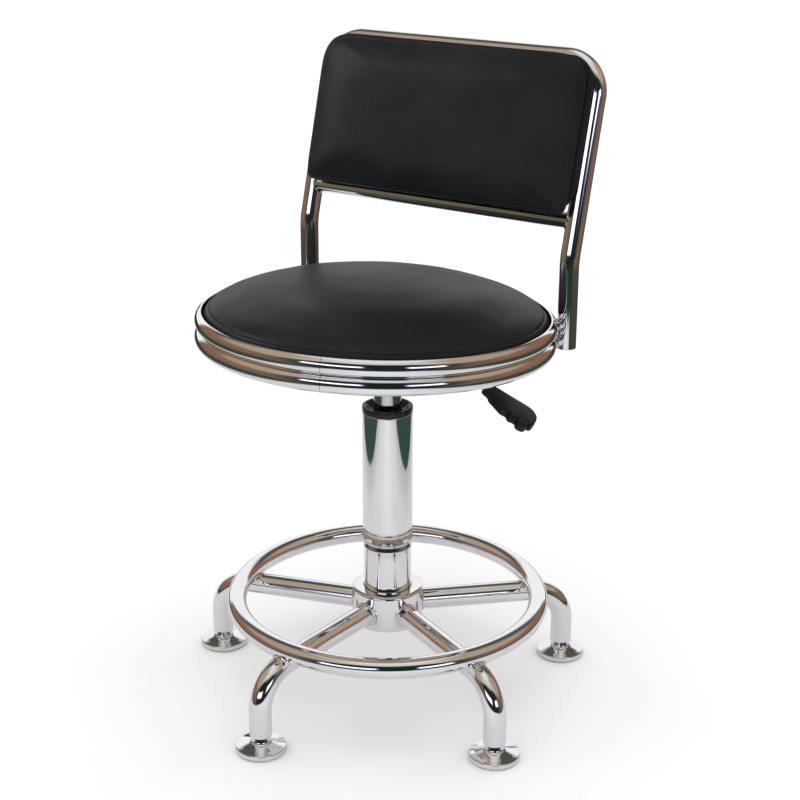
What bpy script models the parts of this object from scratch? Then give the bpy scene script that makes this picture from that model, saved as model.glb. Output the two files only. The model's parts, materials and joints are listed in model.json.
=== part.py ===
"""Stylist stool: five-legged chromed base with a foot ring, gas lift, round seat and low back.

Metres, +Z up. The floor is at z = 0, the sitter faces -Y and the backrest is at +Y.
Heights are measured from the floor, and radii from the axis that the seat turns and lifts on.
"""

import math

import bmesh
import bpy
from mathutils import Matrix, Vector

# Where the seat's axis stands, so that the origin is the middle of the footprint
AXIS_X = 0.007
AXIS_Y = 0.012

CLEARANCE = 0.0003
ROUND_STEPS = 24
SMALL_STEPS = 12
TUBE_SIDES = 10

# Base
LEG_COUNT = 5
FIRST_LEG_ANGLE = math.radians(47.4)
LEG_RADIUS = 0.011
LEG_BORE = 0.0096
LEG_HUB_HEIGHT = 0.084
LEG_DROP = math.radians(2.4)
LEG_BEND_RADIUS = 0.038
FOOT_REACH = 0.192
LEG_END_HEIGHT = 0.0165
HUB_RADIUS = 0.036
HUB_BOTTOM = 0.067
HUB_TOP = 0.106
RING_RADIUS = 0.1553
RING_TUBE_RADIUS = 0.010
RING_TUBE_BORE = 0.0087
RING_HEIGHT = 0.0927
RING_STEPS = 32
GLIDE_RADIUS = 0.0247
GLIDE_STEPS = 16
STUD_RADIUS = 0.005
STUD_TOP = 0.042
INSERT_TOP = 0.030
PAD_RADIUS = 0.020
PAD_THICKNESS = 0.0022

# Gas lift
COLUMN_RADIUS = 0.0253
COLUMN_LOWER_RADIUS = 0.0245
COLUMN_BORE = 0.0228
COLUMN_BOTTOM = 0.068
COLUMN_STEP = 0.147
COLUMN_STEP_TOP = 0.158
COLUMN_TOP = 0.296
BUSHING_BOTTOM = 0.215
BUSHING_TOP = 0.302
ROD_RADIUS = 0.005
ROD_BOTTOM = 0.0695
ROD_TOP = 0.254
CLIP_BOTTOM = 0.0729
CLIP_THICKNESS = 0.001
BASE_PLATE_BOTTOM = 0.0745
BASE_PLATE_TOP = 0.0775
RACE_THICKNESS = 0.002
RACE_RADIUS = 0.0165
BALL_RADIUS = 0.0019
BALL_COUNT = 6
BALL_CIRCLE_RADIUS = 0.012
BUMPER_THICKNESS = 0.013
TUBE_RADIUS = 0.014
TUBE_BORE = 0.0122
TUBE_BOTTOM = 0.1005
TAPER_START = 0.322
TUBE_TOP = 0.354
TUBE_TIP_RADIUS = 0.013
VALVE_BOTTOM = 0.330
BUTTON_RADIUS = 0.0042
BUTTON_BOTTOM = 0.337
BUTTON_TOP = 0.359
PISTON_BOTTOM = 0.240
PISTON_TOP = 0.252

# Seat. Its parts lie in a frame that leans back, whose origin is on the seat's axis, halfway up the rim
SEAT_HEIGHT = 0.3868
SEAT_PITCH = math.radians(3.0)
SEAT_FORWARD = 0.0204
RIM_RADIUS = 0.1744
RIM_HALF_HEIGHT = 0.01625
RIM_BEAD_DEPTH = 0.0045
RIM_LIP_RADIUS = 0.158
RIM_WALL_RADIUS = 0.168
RIM_LIP_TOP = -0.0144
RIM_STEPS = 40
BOARD_RADIUS = 0.1655
BOARD_BOTTOM = -0.0141
BOARD_THICKNESS = 0.012
CUSHION_RADIUS = 0.1675
CUSHION_CROWN = 0.0415

# Seat bracket, a folded channel whose open ends face left and right
BRACKET_LENGTH = 0.120
BRACKET_HALF_WIDTH = 0.060
CHANNEL_HALF_WIDTH = 0.032
BRACKET_TOP = -0.0144
BRACKET_SHEET = 0.002
CHANNEL_FLOOR = -0.0364
BRACKET_SCREW_X = 0.040
BRACKET_SCREW_Y = 0.047
SCREW_RADIUS = 0.003
SCREW_HEAD_RADIUS = 0.0055
SCREW_HEAD_HEIGHT = 0.0035
BOARD_SCREW_DEPTH = 0.0095
SOCKET_RADIUS = 0.019
SOCKET_BOTTOM = 0.320
SOCKET_TOP = 0.353

# Height lever, in the seat's frame
LEVER_PIVOT_X = 0.030
LEVER_PIVOT_Z = -0.0245
LEVER_ROD_RADIUS = 0.0035
LEVER_BOSS_RADIUS = 0.0065
LEVER_BOSS_HALF_LENGTH = 0.0285
LEVER_ELBOW_X = 0.0778
LEVER_ELBOW_Z = -0.0268
LEVER_SLOPE = math.radians(27.0)
PIN_RADIUS = 0.003
PADDLE_START = 0.047
PADDLE_LENGTH = 0.057
PADDLE_THICKNESS = 0.009
PADDLE_NECK_WIDTH = 0.022
PADDLE_TIP_WIDTH = 0.032

# Back
FRAME_RADIUS = 0.0095
FRAME_BORE = 0.0083
FRAME_HALF_WIDTH = 0.1525
FRAME_BACK = 0.084
FRAME_BOTTOM = 0.366
KNEE_HEIGHT = 0.4523
KNEE_RADIUS = 0.060
BACK_LEAN = math.radians(15.8)
TOP_BAR_ALONG = 0.1917
CORNER_RADIUS = 0.035
CROSSBAR_ALONG = 0.0387
CROSSBAR_RADIUS = 0.008
CROSSBAR_BORE = 0.0068
PANEL_WIDTH = 0.309
PANEL_LOW = 0.0425
PANEL_HIGH = 0.1935
PANEL_CORNER = 0.028
PANEL_BACK = FRAME_RADIUS + CLEARANCE
PANEL_BOARD_THICKNESS = 0.006
PANEL_FRONT = 0.036
TAB_WIDTH = 0.024
TAB_HEIGHT = 0.022
TAB_THICKNESS = 0.0025
TAB_CENTRE_X = 0.1335
TAB_LEVELS = (0.078, 0.140)
BACK_SCREW_RADIUS = 0.002


def clear_scene():
    for obj in list(bpy.data.objects):
        bpy.data.objects.remove(obj, do_unlink=True)


def material(name, colour, metallic, roughness):
    """A Principled material with one colour."""
    made = bpy.data.materials.new(name)
    made.use_nodes = True
    shader = made.node_tree.nodes["Principled BSDF"]
    shader.inputs["Base Color"].default_value = (*colour, 1.0)
    shader.inputs["Metallic"].default_value = metallic
    shader.inputs["Roughness"].default_value = roughness
    return made


def empty(name, parent, location, rotation=(0.0, 0.0, 0.0)):
    """A frame that other objects are parented to."""
    frame = bpy.data.objects.new(name, None)
    frame.parent = parent
    frame.location = location
    frame.rotation_euler = rotation
    bpy.context.collection.objects.link(frame)
    return frame


def finish_mesh(bm, name):
    """The bmesh as a mesh with its faces pointing out, smooth where it is round."""
    bmesh.ops.remove_doubles(bm, verts=bm.verts, dist=1e-6)
    bmesh.ops.recalc_face_normals(bm, faces=bm.faces)
    mesh = bpy.data.meshes.new(name)
    bm.to_mesh(mesh)
    bm.free()
    mesh.shade_smooth()
    mesh.set_sharp_from_angle(angle=math.radians(40))
    return mesh


def add(name, mesh, finish, parent, location=(0.0, 0.0, 0.0), rotation=(0.0, 0.0, 0.0)):
    """A named part in its parent's frame."""
    part = bpy.data.objects.new(name, mesh)
    part.parent = parent
    part.location = location
    part.rotation_euler = rotation
    mesh.materials.clear()
    mesh.materials.append(finish)
    bpy.context.collection.objects.link(part)
    return part


def add_tool(name, mesh, parent, location=(0.0, 0.0, 0.0), rotation=(0.0, 0.0, 0.0)):
    """A shape that cuts or joins others and isn't a part itself."""
    tool = bpy.data.objects.new(name, mesh)
    tool.parent = parent
    tool.location = location
    tool.rotation_euler = rotation
    tool.hide_render = True
    tool.display_type = "WIRE"
    bpy.context.collection.objects.link(tool)
    return tool


def combine(part, tool, operation="DIFFERENCE"):
    """Cut the tool out of the part, or join it on with UNION."""
    boolean = part.modifiers.new(tool.name, "BOOLEAN")
    boolean.operation = operation
    boolean.solver = "EXACT"
    boolean.object = tool


def lathe(name, profile, steps=ROUND_STEPS):
    """Turn (radius, height) points about Z. A profile that starts off the axis is a closed ring section."""
    bm = bmesh.new()
    points = [bm.verts.new((radius, 0.0, height)) for radius, height in profile]
    lines = [bm.edges.new(pair) for pair in zip(points, points[1:])]
    if profile[0][0] > 0.0:
        lines.append(bm.edges.new((points[-1], points[0])))
    bmesh.ops.spin(
        bm,
        geom=points + lines,
        cent=(0.0, 0.0, 0.0),
        axis=(0.0, 0.0, 1.0),
        angle=math.tau,
        steps=steps,
        use_merge=True,
    )
    return finish_mesh(bm, name)


def cylinder(name, radius, low, high, steps=SMALL_STEPS):
    return lathe(name, [(0.0, low), (radius, low), (radius, high), (0.0, high)], steps)


def washer(name, inner, outer, low, high, steps=ROUND_STEPS):
    return lathe(name, [(inner, low), (outer, low), (outer, high), (inner, high)], steps)


def loft(name, layers):
    """Join equal outlines one after the other, with a flat face at each end."""
    bm = bmesh.new()
    rings = [[bm.verts.new(point) for point in layer] for layer in layers]
    for low, high in zip(rings, rings[1:]):
        for i in range(len(low)):
            bm.faces.new((low[i - 1], low[i], high[i], high[i - 1]))
    bm.faces.new(rings[0])
    bm.faces.new(rings[-1])
    return finish_mesh(bm, name)


def rounded_path(corners, radii, steps):
    """Straight lines between corners, with an arc of the given radius at each inner corner."""
    path = [Vector(corners[0])]
    for before, corner, after, radius in zip(corners, corners[1:], corners[2:], radii):
        corner = Vector(corner)
        back = (Vector(before) - corner).normalized()
        ahead = (Vector(after) - corner).normalized()
        half_angle = back.angle(ahead) / 2
        reach = radius / math.tan(half_angle)
        centre = corner + (back + ahead).normalized() * radius / math.sin(half_angle)
        start = corner + back * reach - centre
        normal = start.cross(corner + ahead * reach - centre).normalized()
        turn = math.pi - 2 * half_angle
        for i in range(steps + 1):
            path.append(centre + Matrix.Rotation(turn * i / steps, 3, normal) @ start)
    path.append(Vector(corners[-1]))
    return path


def tube(name, path, radius, bore=0.0, sides=TUBE_SIDES):
    """A round tube along a path, open at its ends, or a solid rod where the bore is 0."""
    bm = bmesh.new()
    heading = (path[1] - path[0]).normalized()
    across = heading.orthogonal().normalized()
    if abs(heading.z) < 0.9:
        across = (Vector((0.0, 0.0, 1.0)) - heading * heading.z).normalized()
    outer, inner = [], []
    for i, point in enumerate(path):
        before = (point - path[i - 1]).normalized() if i else heading
        after = (path[i + 1] - point).normalized() if i + 1 < len(path) else before
        turned = before.rotation_difference(after)
        halfway = (before + after).normalized()
        mitre = 1.0 / max(halfway.dot(after), 0.5)
        bend_side = (after - before).normalized() if turned.angle > 1e-5 else Vector()
        across = (across - halfway * across.dot(halfway)).normalized()
        side = halfway.cross(across)
        for rings, size in ((outer, radius), (inner, bore)):
            ring = []
            for k in range(sides):
                angle = math.tau * k / sides
                offset = (across * math.cos(angle) + side * math.sin(angle)) * size
                offset += bend_side * offset.dot(bend_side) * (mitre - 1.0)
                ring.append(point + offset)
            rings.append(ring)
    outer = [[bm.verts.new(point) for point in ring] for ring in outer]
    shells = [outer]
    if bore:
        inner = [[bm.verts.new(point) for point in ring] for ring in inner]
        shells.append(inner)
    for rings in shells:
        for low, high in zip(rings, rings[1:]):
            for k in range(sides):
                bm.faces.new((low[k - 1], low[k], high[k], high[k - 1]))
    for end in (0, -1):
        if bore:
            for k in range(sides):
                bm.faces.new((outer[end][k - 1], outer[end][k], inner[end][k], inner[end][k - 1]))
        else:
            bm.faces.new(outer[end])
    return finish_mesh(bm, name)


def rounded_rectangle(width, height, radius, steps=4):
    """Corner points of a rounded rectangle about (0, 0), anticlockwise."""
    outline = []
    for turn, (sign_x, sign_y) in enumerate(((1, 1), (-1, 1), (-1, -1), (1, -1))):
        for i in range(steps + 1):
            angle = math.pi / 2 * (turn + i / steps)
            x = sign_x * (width / 2 - radius) + radius * math.cos(angle)
            y = sign_y * (height / 2 - radius) + radius * math.sin(angle)
            outline.append((x, y))
    return outline


def leg_angles():
    return [FIRST_LEG_ANGLE + math.tau * i / LEG_COUNT for i in range(LEG_COUNT)]


def circle_path(radius, height, start, sweep, steps):
    """Points on a level circle."""
    path = []
    for i in range(steps + 1):
        angle = start + sweep * i / steps
        path.append(Vector((radius * math.cos(angle), radius * math.sin(angle), height)))
    return path


def build_base(axis, chrome, steel, nylon):
    """Hub, legs, foot ring, and the screwed glides that level the stool."""
    hub_bore = COLUMN_LOWER_RADIUS + CLEARANCE
    edge = 0.0015
    hub_profile = [
        (hub_bore, HUB_BOTTOM),
        (HUB_RADIUS - edge, HUB_BOTTOM),
        (HUB_RADIUS, HUB_BOTTOM + edge),
        (HUB_RADIUS, HUB_TOP - 2 * edge),
        (HUB_RADIUS - 2 * edge, HUB_TOP),
        (hub_bore, HUB_TOP),
    ]
    add("hub", lathe("hub", hub_profile), chrome, axis)

    hub_cut = cylinder("hub_cut", HUB_RADIUS + CLEARANCE, 0.05, 0.13, ROUND_STEPS)
    hub_tool = add_tool("hub_cut", hub_cut, axis)
    # The ring's ends meet in a hairline seam, midway between two legs
    seam = FIRST_LEG_ANGLE + math.tau * 1.5 / LEG_COUNT
    half_gap = CLEARANCE / RING_RADIUS
    ring_path = circle_path(
        RING_RADIUS, RING_HEIGHT, seam + half_gap, math.tau - 2 * half_gap, RING_STEPS
    )
    ring_mesh = tube("footrest_ring", ring_path, RING_TUBE_RADIUS, RING_TUBE_BORE)
    add("footrest_ring", ring_mesh, chrome, axis)
    saddle = tube("ring_saddle", ring_path, RING_TUBE_RADIUS + CLEARANCE)
    saddle_tool = add_tool("ring_saddle", saddle, axis)

    elbow_height = LEG_HUB_HEIGHT - (FOOT_REACH - HUB_RADIUS) * math.tan(LEG_DROP)
    leg_path = rounded_path(
        [
            (HUB_RADIUS - 0.006, 0.0, LEG_HUB_HEIGHT + 0.006 * math.tan(LEG_DROP)),
            (FOOT_REACH, 0.0, elbow_height),
            (FOOT_REACH, 0.0, LEG_END_HEIGHT),
        ],
        [LEG_BEND_RADIUS],
        6,
    )
    leg_mesh = tube("leg", leg_path, LEG_RADIUS, LEG_BORE)
    insert_low = LEG_END_HEIGHT + CLEARANCE
    flat_to_flat_bore = LEG_BORE * math.cos(math.pi / TUBE_SIDES)
    insert_mesh = washer(
        "leg_insert",
        STUD_RADIUS + CLEARANCE,
        flat_to_flat_bore - CLEARANCE,
        insert_low,
        INSERT_TOP,
        SMALL_STEPS,
    )
    glide_mesh = build_glide_mesh()
    pad_mesh = cylinder("glide_pad", PAD_RADIUS, 0.0, PAD_THICKNESS, GLIDE_STEPS)
    for number, angle in enumerate(leg_angles(), start=1):
        leg = add(f"leg_{number}", leg_mesh.copy(), chrome, axis, rotation=(0.0, 0.0, angle))
        combine(leg, hub_tool)
        combine(leg, saddle_tool)
        reach = (FOOT_REACH * math.cos(angle), FOOT_REACH * math.sin(angle), 0.0)
        foot = empty(f"foot_{number}", axis, reach)
        add(f"leg_insert_{number}", insert_mesh.copy(), steel, foot, rotation=(0.0, 0.0, angle))
        add(f"glide_{number}", glide_mesh.copy(), chrome, foot)
        add(f"glide_pad_{number}", pad_mesh.copy(), nylon, foot)


def build_glide_mesh():
    """A foot disc that sweeps up into a neck, with the threaded stud that screws into the leg."""
    recess = PAD_THICKNESS + CLEARANCE
    recess_radius = PAD_RADIUS + 2 * CLEARANCE
    profile = [
        (0.0, recess),
        (recess_radius, recess),
        (recess_radius, 0.0012),
        (GLIDE_RADIUS - 0.001, 0.0012),
        (GLIDE_RADIUS, 0.0026),
        (GLIDE_RADIUS, 0.0046),
        (GLIDE_RADIUS - 0.0012, 0.0058),
        (0.0185, 0.0068),
        (0.0130, 0.0086),
        (0.0092, 0.0115),
        (0.0078, LEG_END_HEIGHT - CLEARANCE),
        (STUD_RADIUS, LEG_END_HEIGHT - CLEARANCE),
        (STUD_RADIUS, STUD_TOP),
        (0.0, STUD_TOP),
    ]
    return lathe("glide", profile, GLIDE_STEPS)


def build_column(axis, chrome, steel, plastic):
    """The lift's outer tube with its bottom plate and the plastic bush that guides the inner tube."""
    column_profile = [
        (COLUMN_BORE, COLUMN_BOTTOM),
        (COLUMN_LOWER_RADIUS - CLEARANCE, COLUMN_BOTTOM),
        (COLUMN_LOWER_RADIUS, COLUMN_STEP),
        (COLUMN_RADIUS, COLUMN_STEP_TOP),
        (COLUMN_RADIUS, COLUMN_TOP),
        (COLUMN_BORE, COLUMN_TOP),
    ]
    add("column_tube", lathe("column_tube", column_profile), chrome, axis)
    bush_radius = COLUMN_BORE - CLEARANCE
    bush_bore = TUBE_RADIUS + CLEARANCE
    collar_bottom = COLUMN_TOP + CLEARANCE
    dish_bottom = BUSHING_TOP - 0.0035
    bush_profile = [
        (bush_bore, BUSHING_BOTTOM),
        (bush_radius, BUSHING_BOTTOM),
        (bush_radius, collar_bottom),
        (COLUMN_RADIUS, collar_bottom),
        (COLUMN_RADIUS, BUSHING_TOP - 0.0015),
        (COLUMN_RADIUS - 0.001, BUSHING_TOP),
        (COLUMN_RADIUS - 0.003, BUSHING_TOP),
        (bush_bore + 0.002, dish_bottom),
        (bush_bore, dish_bottom),
    ]
    add("guide_bushing", lathe("guide_bushing", bush_profile), plastic, axis)
    plate = washer(
        "column_base_plate",
        ROD_RADIUS + 2 * CLEARANCE,
        COLUMN_BORE - CLEARANCE,
        BASE_PLATE_BOTTOM,
        BASE_PLATE_TOP,
    )
    add("column_base_plate", plate, steel, axis)


def build_thrust_bearing(axis, steel, rubber):
    """Two races with a caged set of balls between them, under a rubber bump stop."""
    bore = ROD_RADIUS + 2 * CLEARANCE
    lower_bottom = BASE_PLATE_TOP + CLEARANCE
    lower_top = lower_bottom + RACE_THICKNESS
    ball_height = lower_top + BALL_RADIUS + CLEARANCE
    upper_bottom = ball_height + BALL_RADIUS + CLEARANCE
    upper_top = upper_bottom + RACE_THICKNESS
    bumper_bottom = upper_top + CLEARANCE
    lower = washer("lower_race", bore, RACE_RADIUS, lower_bottom, lower_top)
    add("lower_race", lower, steel, axis)
    upper = washer("upper_race", bore, RACE_RADIUS, upper_bottom, upper_top)
    add("upper_race", upper, steel, axis)

    cage_half = 0.0007
    cage_mesh = washer(
        "ball_cage",
        BALL_CIRCLE_RADIUS - 0.0035,
        BALL_CIRCLE_RADIUS + 0.0035,
        ball_height - cage_half,
        ball_height + cage_half,
    )
    cage = add("ball_cage", cage_mesh, steel, axis)
    bm = bmesh.new()
    for i in range(BALL_COUNT):
        angle = math.tau * i / BALL_COUNT
        place = Matrix.Translation(
            (
                BALL_CIRCLE_RADIUS * math.cos(angle),
                BALL_CIRCLE_RADIUS * math.sin(angle),
                ball_height,
            )
        )
        bmesh.ops.create_uvsphere(bm, u_segments=6, v_segments=4, radius=BALL_RADIUS, matrix=place)
    combine(cage, add_tool("bearing_balls", finish_mesh(bm, "bearing_balls"), axis), "UNION")

    bumper = washer(
        "bump_stop", bore, 0.0125, bumper_bottom, bumper_bottom + BUMPER_THICKNESS
    )
    add("bump_stop", bumper, rubber, axis)


def build_piston(axis, steel, plastic):
    """The rod that stays down in the column, its clip under the bottom plate, and the piston on top."""
    groove = 0.004
    clip_top = CLIP_BOTTOM + CLIP_THICKNESS
    rod_profile = [
        (0.0, ROD_BOTTOM),
        (ROD_RADIUS, ROD_BOTTOM),
        (ROD_RADIUS, CLIP_BOTTOM - CLEARANCE),
        (groove, CLIP_BOTTOM - CLEARANCE),
        (groove, clip_top + CLEARANCE),
        (ROD_RADIUS, clip_top + CLEARANCE),
        (ROD_RADIUS, ROD_TOP),
        (0.0, ROD_TOP),
    ]
    add("piston_rod", lathe("piston_rod", rod_profile, SMALL_STEPS), steel, axis)

    open_angle = math.radians(70)
    steps = 10
    outline = []
    for radius, turns in ((0.008, range(steps + 1)), (groove + CLEARANCE, range(steps, -1, -1))):
        for i in turns:
            angle = open_angle / 2 + (math.tau - open_angle) * i / steps
            outline.append((radius * math.cos(angle), radius * math.sin(angle)))
    layers = [[(x, y, height) for x, y in outline] for height in (CLIP_BOTTOM, clip_top)]
    add("retaining_clip", loft("retaining_clip", layers), steel, axis)

    piston_radius = TUBE_BORE - 2 * CLEARANCE
    piston_bore = ROD_RADIUS + CLEARANCE
    middle = (PISTON_BOTTOM + PISTON_TOP) / 2
    piston_profile = [
        (piston_bore, PISTON_BOTTOM),
        (piston_radius, PISTON_BOTTOM),
        (piston_radius, middle - 0.002),
        (piston_radius - 0.0015, middle - 0.001),
        (piston_radius - 0.0015, middle + 0.001),
        (piston_radius, middle + 0.002),
        (piston_radius, PISTON_TOP),
        (piston_bore, PISTON_TOP),
    ]
    add("piston", lathe("piston", piston_profile, SMALL_STEPS), plastic, axis)


def build_pressure_tube(axis, steel, plastic):
    """The lift's inner tube, its rod guide, the valve button, and the cone that the seat sits on."""
    valve_bore = BUTTON_RADIUS + CLEARANCE
    tube_profile = [
        (TUBE_BORE, TUBE_BOTTOM),
        (TUBE_RADIUS, TUBE_BOTTOM),
        (TUBE_RADIUS, TAPER_START),
        (TUBE_TIP_RADIUS, TUBE_TOP),
        (valve_bore, TUBE_TOP),
        (valve_bore, VALVE_BOTTOM),
        (TUBE_BORE, VALVE_BOTTOM),
    ]
    add("pressure_tube", lathe("pressure_tube", tube_profile), steel, axis)
    guide_bottom = TUBE_BOTTOM + 0.0005
    guide = washer(
        "rod_guide",
        ROD_RADIUS + 2 * CLEARANCE,
        TUBE_BORE - CLEARANCE,
        guide_bottom,
        guide_bottom + 0.017,
        SMALL_STEPS,
    )
    add("rod_guide", guide, plastic, axis)
    edge = 0.0008
    button_profile = [
        (0.0, BUTTON_BOTTOM),
        (BUTTON_RADIUS, BUTTON_BOTTOM),
        (BUTTON_RADIUS, BUTTON_TOP - edge),
        (BUTTON_RADIUS - edge, BUTTON_TOP),
        (0.0, BUTTON_TOP),
    ]
    add("release_button", lathe("release_button", button_profile, SMALL_STEPS), steel, axis)

    socket_profile = [
        (TUBE_RADIUS + CLEARANCE, SOCKET_BOTTOM),
        (SOCKET_RADIUS, SOCKET_BOTTOM),
        (SOCKET_RADIUS, SOCKET_TOP),
        (TUBE_TIP_RADIUS + 2 * CLEARANCE, SOCKET_TOP),
    ]
    add("taper_socket", lathe("taper_socket", socket_profile), steel, axis)


def screw_mesh(name, radius, head_radius, head_height, length):
    """A pan-head screw that points up, with the underside of its head at z = 0."""
    profile = [
        (0.0, -head_height),
        (head_radius - 0.001, -head_height),
        (head_radius, -head_height + 0.001),
        (head_radius, 0.0),
        (radius, 0.0),
        (radius, length),
        (0.0, length),
    ]
    return lathe(name, profile, SMALL_STEPS)


def bracket_screw_places():
    return [(x * BRACKET_SCREW_X, y * BRACKET_SCREW_Y) for x in (-1, 1) for y in (-1, 1)]


def build_seat_bracket(axis, seat, steel):
    """The folded channel under the seat, with its four screws and the holes for socket and lever pin."""
    wall = CHANNEL_HALF_WIDTH - BRACKET_SHEET
    floor_top = CHANNEL_FLOOR + BRACKET_SHEET
    flange_bottom = BRACKET_TOP - BRACKET_SHEET
    right_half = [
        (BRACKET_HALF_WIDTH, flange_bottom),
        (BRACKET_HALF_WIDTH, BRACKET_TOP),
        (wall, BRACKET_TOP),
        (wall, floor_top),
    ]
    right_outer = [(CHANNEL_HALF_WIDTH, CHANNEL_FLOOR), (CHANNEL_HALF_WIDTH, flange_bottom)]
    left_half = [(-y, z) for y, z in reversed(right_half)]
    left_outer = [(-y, z) for y, z in reversed(right_outer)]
    section = right_half + left_half + left_outer + right_outer
    half_length = BRACKET_LENGTH / 2
    layers = [[(x, y, z) for y, z in section] for x in (-half_length, half_length)]
    bracket = add("seat_bracket", loft("seat_bracket", layers), steel, seat)

    opening = cylinder("socket_hole", SOCKET_RADIUS + 4 * CLEARANCE, 0.33, 0.37, ROUND_STEPS)
    combine(bracket, add_tool("socket_hole", opening, axis))
    pin_hole = cylinder("pin_hole", PIN_RADIUS + CLEARANCE, -0.04, 0.04)
    pin_place = (LEVER_PIVOT_X, 0.0, LEVER_PIVOT_Z)
    sideways = (math.pi / 2, 0.0, 0.0)
    combine(bracket, add_tool("bracket_pin_hole", pin_hole, seat, pin_place, sideways))

    head_seat = flange_bottom - CLEARANCE
    hole_top = BOARD_BOTTOM + BOARD_SCREW_DEPTH
    hole_radius = SCREW_RADIUS + CLEARANCE
    hole_mesh = cylinder("screw_hole", hole_radius, flange_bottom - 0.002, hole_top)
    shank_length = hole_top - CLEARANCE - head_seat
    screw = screw_mesh("screw", SCREW_RADIUS, SCREW_HEAD_RADIUS, SCREW_HEAD_HEIGHT, shank_length)
    tools = []
    for number, (x, y) in enumerate(bracket_screw_places(), start=1):
        tool = add_tool(f"screw_hole_{number}", hole_mesh.copy(), seat, (x, y, 0.0))
        combine(bracket, tool)
        tools.append(tool)
        add(f"bracket_screw_{number}", screw.copy(), steel, seat, (x, y, head_seat))
    return tools


def arc_across(radius, low, high, depth, steps):
    """Points of a bead that bulges out to the radius between two heights, without its first point."""
    half = (high - low) / 2
    arc_radius = (half * half + depth * depth) / (2 * depth)
    half_angle = math.asin(half / arc_radius)
    points = []
    for i in range(1, steps + 1):
        angle = half_angle * (2 * i / steps - 1)
        height = (low + high) / 2 + arc_radius * math.sin(angle)
        points.append((radius - arc_radius * (1 - math.cos(angle)), height))
    return points


def build_seat(seat, chrome, vinyl, plywood, screw_tools):
    """Beaded rim, plywood board and crowned cushion, all round and a little forward of the axis."""
    forward = (0.0, -SEAT_FORWARD, 0.0)
    groove_radius = RIM_RADIUS - RIM_BEAD_DEPTH
    rim_profile = [(RIM_LIP_RADIUS, -RIM_HALF_HEIGHT), (groove_radius, -RIM_HALF_HEIGHT)]
    rim_profile += arc_across(RIM_RADIUS, -RIM_HALF_HEIGHT, 0.0, RIM_BEAD_DEPTH, 5)
    rim_profile += arc_across(RIM_RADIUS, 0.0, RIM_HALF_HEIGHT, RIM_BEAD_DEPTH, 5)
    rim_profile += [
        (RIM_WALL_RADIUS, RIM_HALF_HEIGHT),
        (RIM_WALL_RADIUS, RIM_LIP_TOP),
        (RIM_LIP_RADIUS, RIM_LIP_TOP),
    ]
    add("seat_rim", lathe("seat_rim", rim_profile, RIM_STEPS), chrome, seat, forward)

    board_top = BOARD_BOTTOM + BOARD_THICKNESS
    board_mesh = cylinder("seat_board", BOARD_RADIUS, BOARD_BOTTOM, board_top, 36)
    board = add("seat_board", board_mesh, plywood, seat, forward)
    for tool in screw_tools:
        combine(board, tool)

    inside = BOARD_RADIUS
    cushion_profile = [
        (0.0, board_top + CLEARANCE),
        (inside, board_top + CLEARANCE),
        (inside, RIM_HALF_HEIGHT),
        (CUSHION_RADIUS, 0.0205),
        (CUSHION_RADIUS - 0.004, 0.0262),
        (0.150, 0.0315),
        (0.115, 0.0370),
        (0.060, CUSHION_CROWN - 0.001),
        (0.0, CUSHION_CROWN),
    ]
    add("seat_cushion", lathe("seat_cushion", cushion_profile, 36), vinyl, seat, forward)


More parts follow.
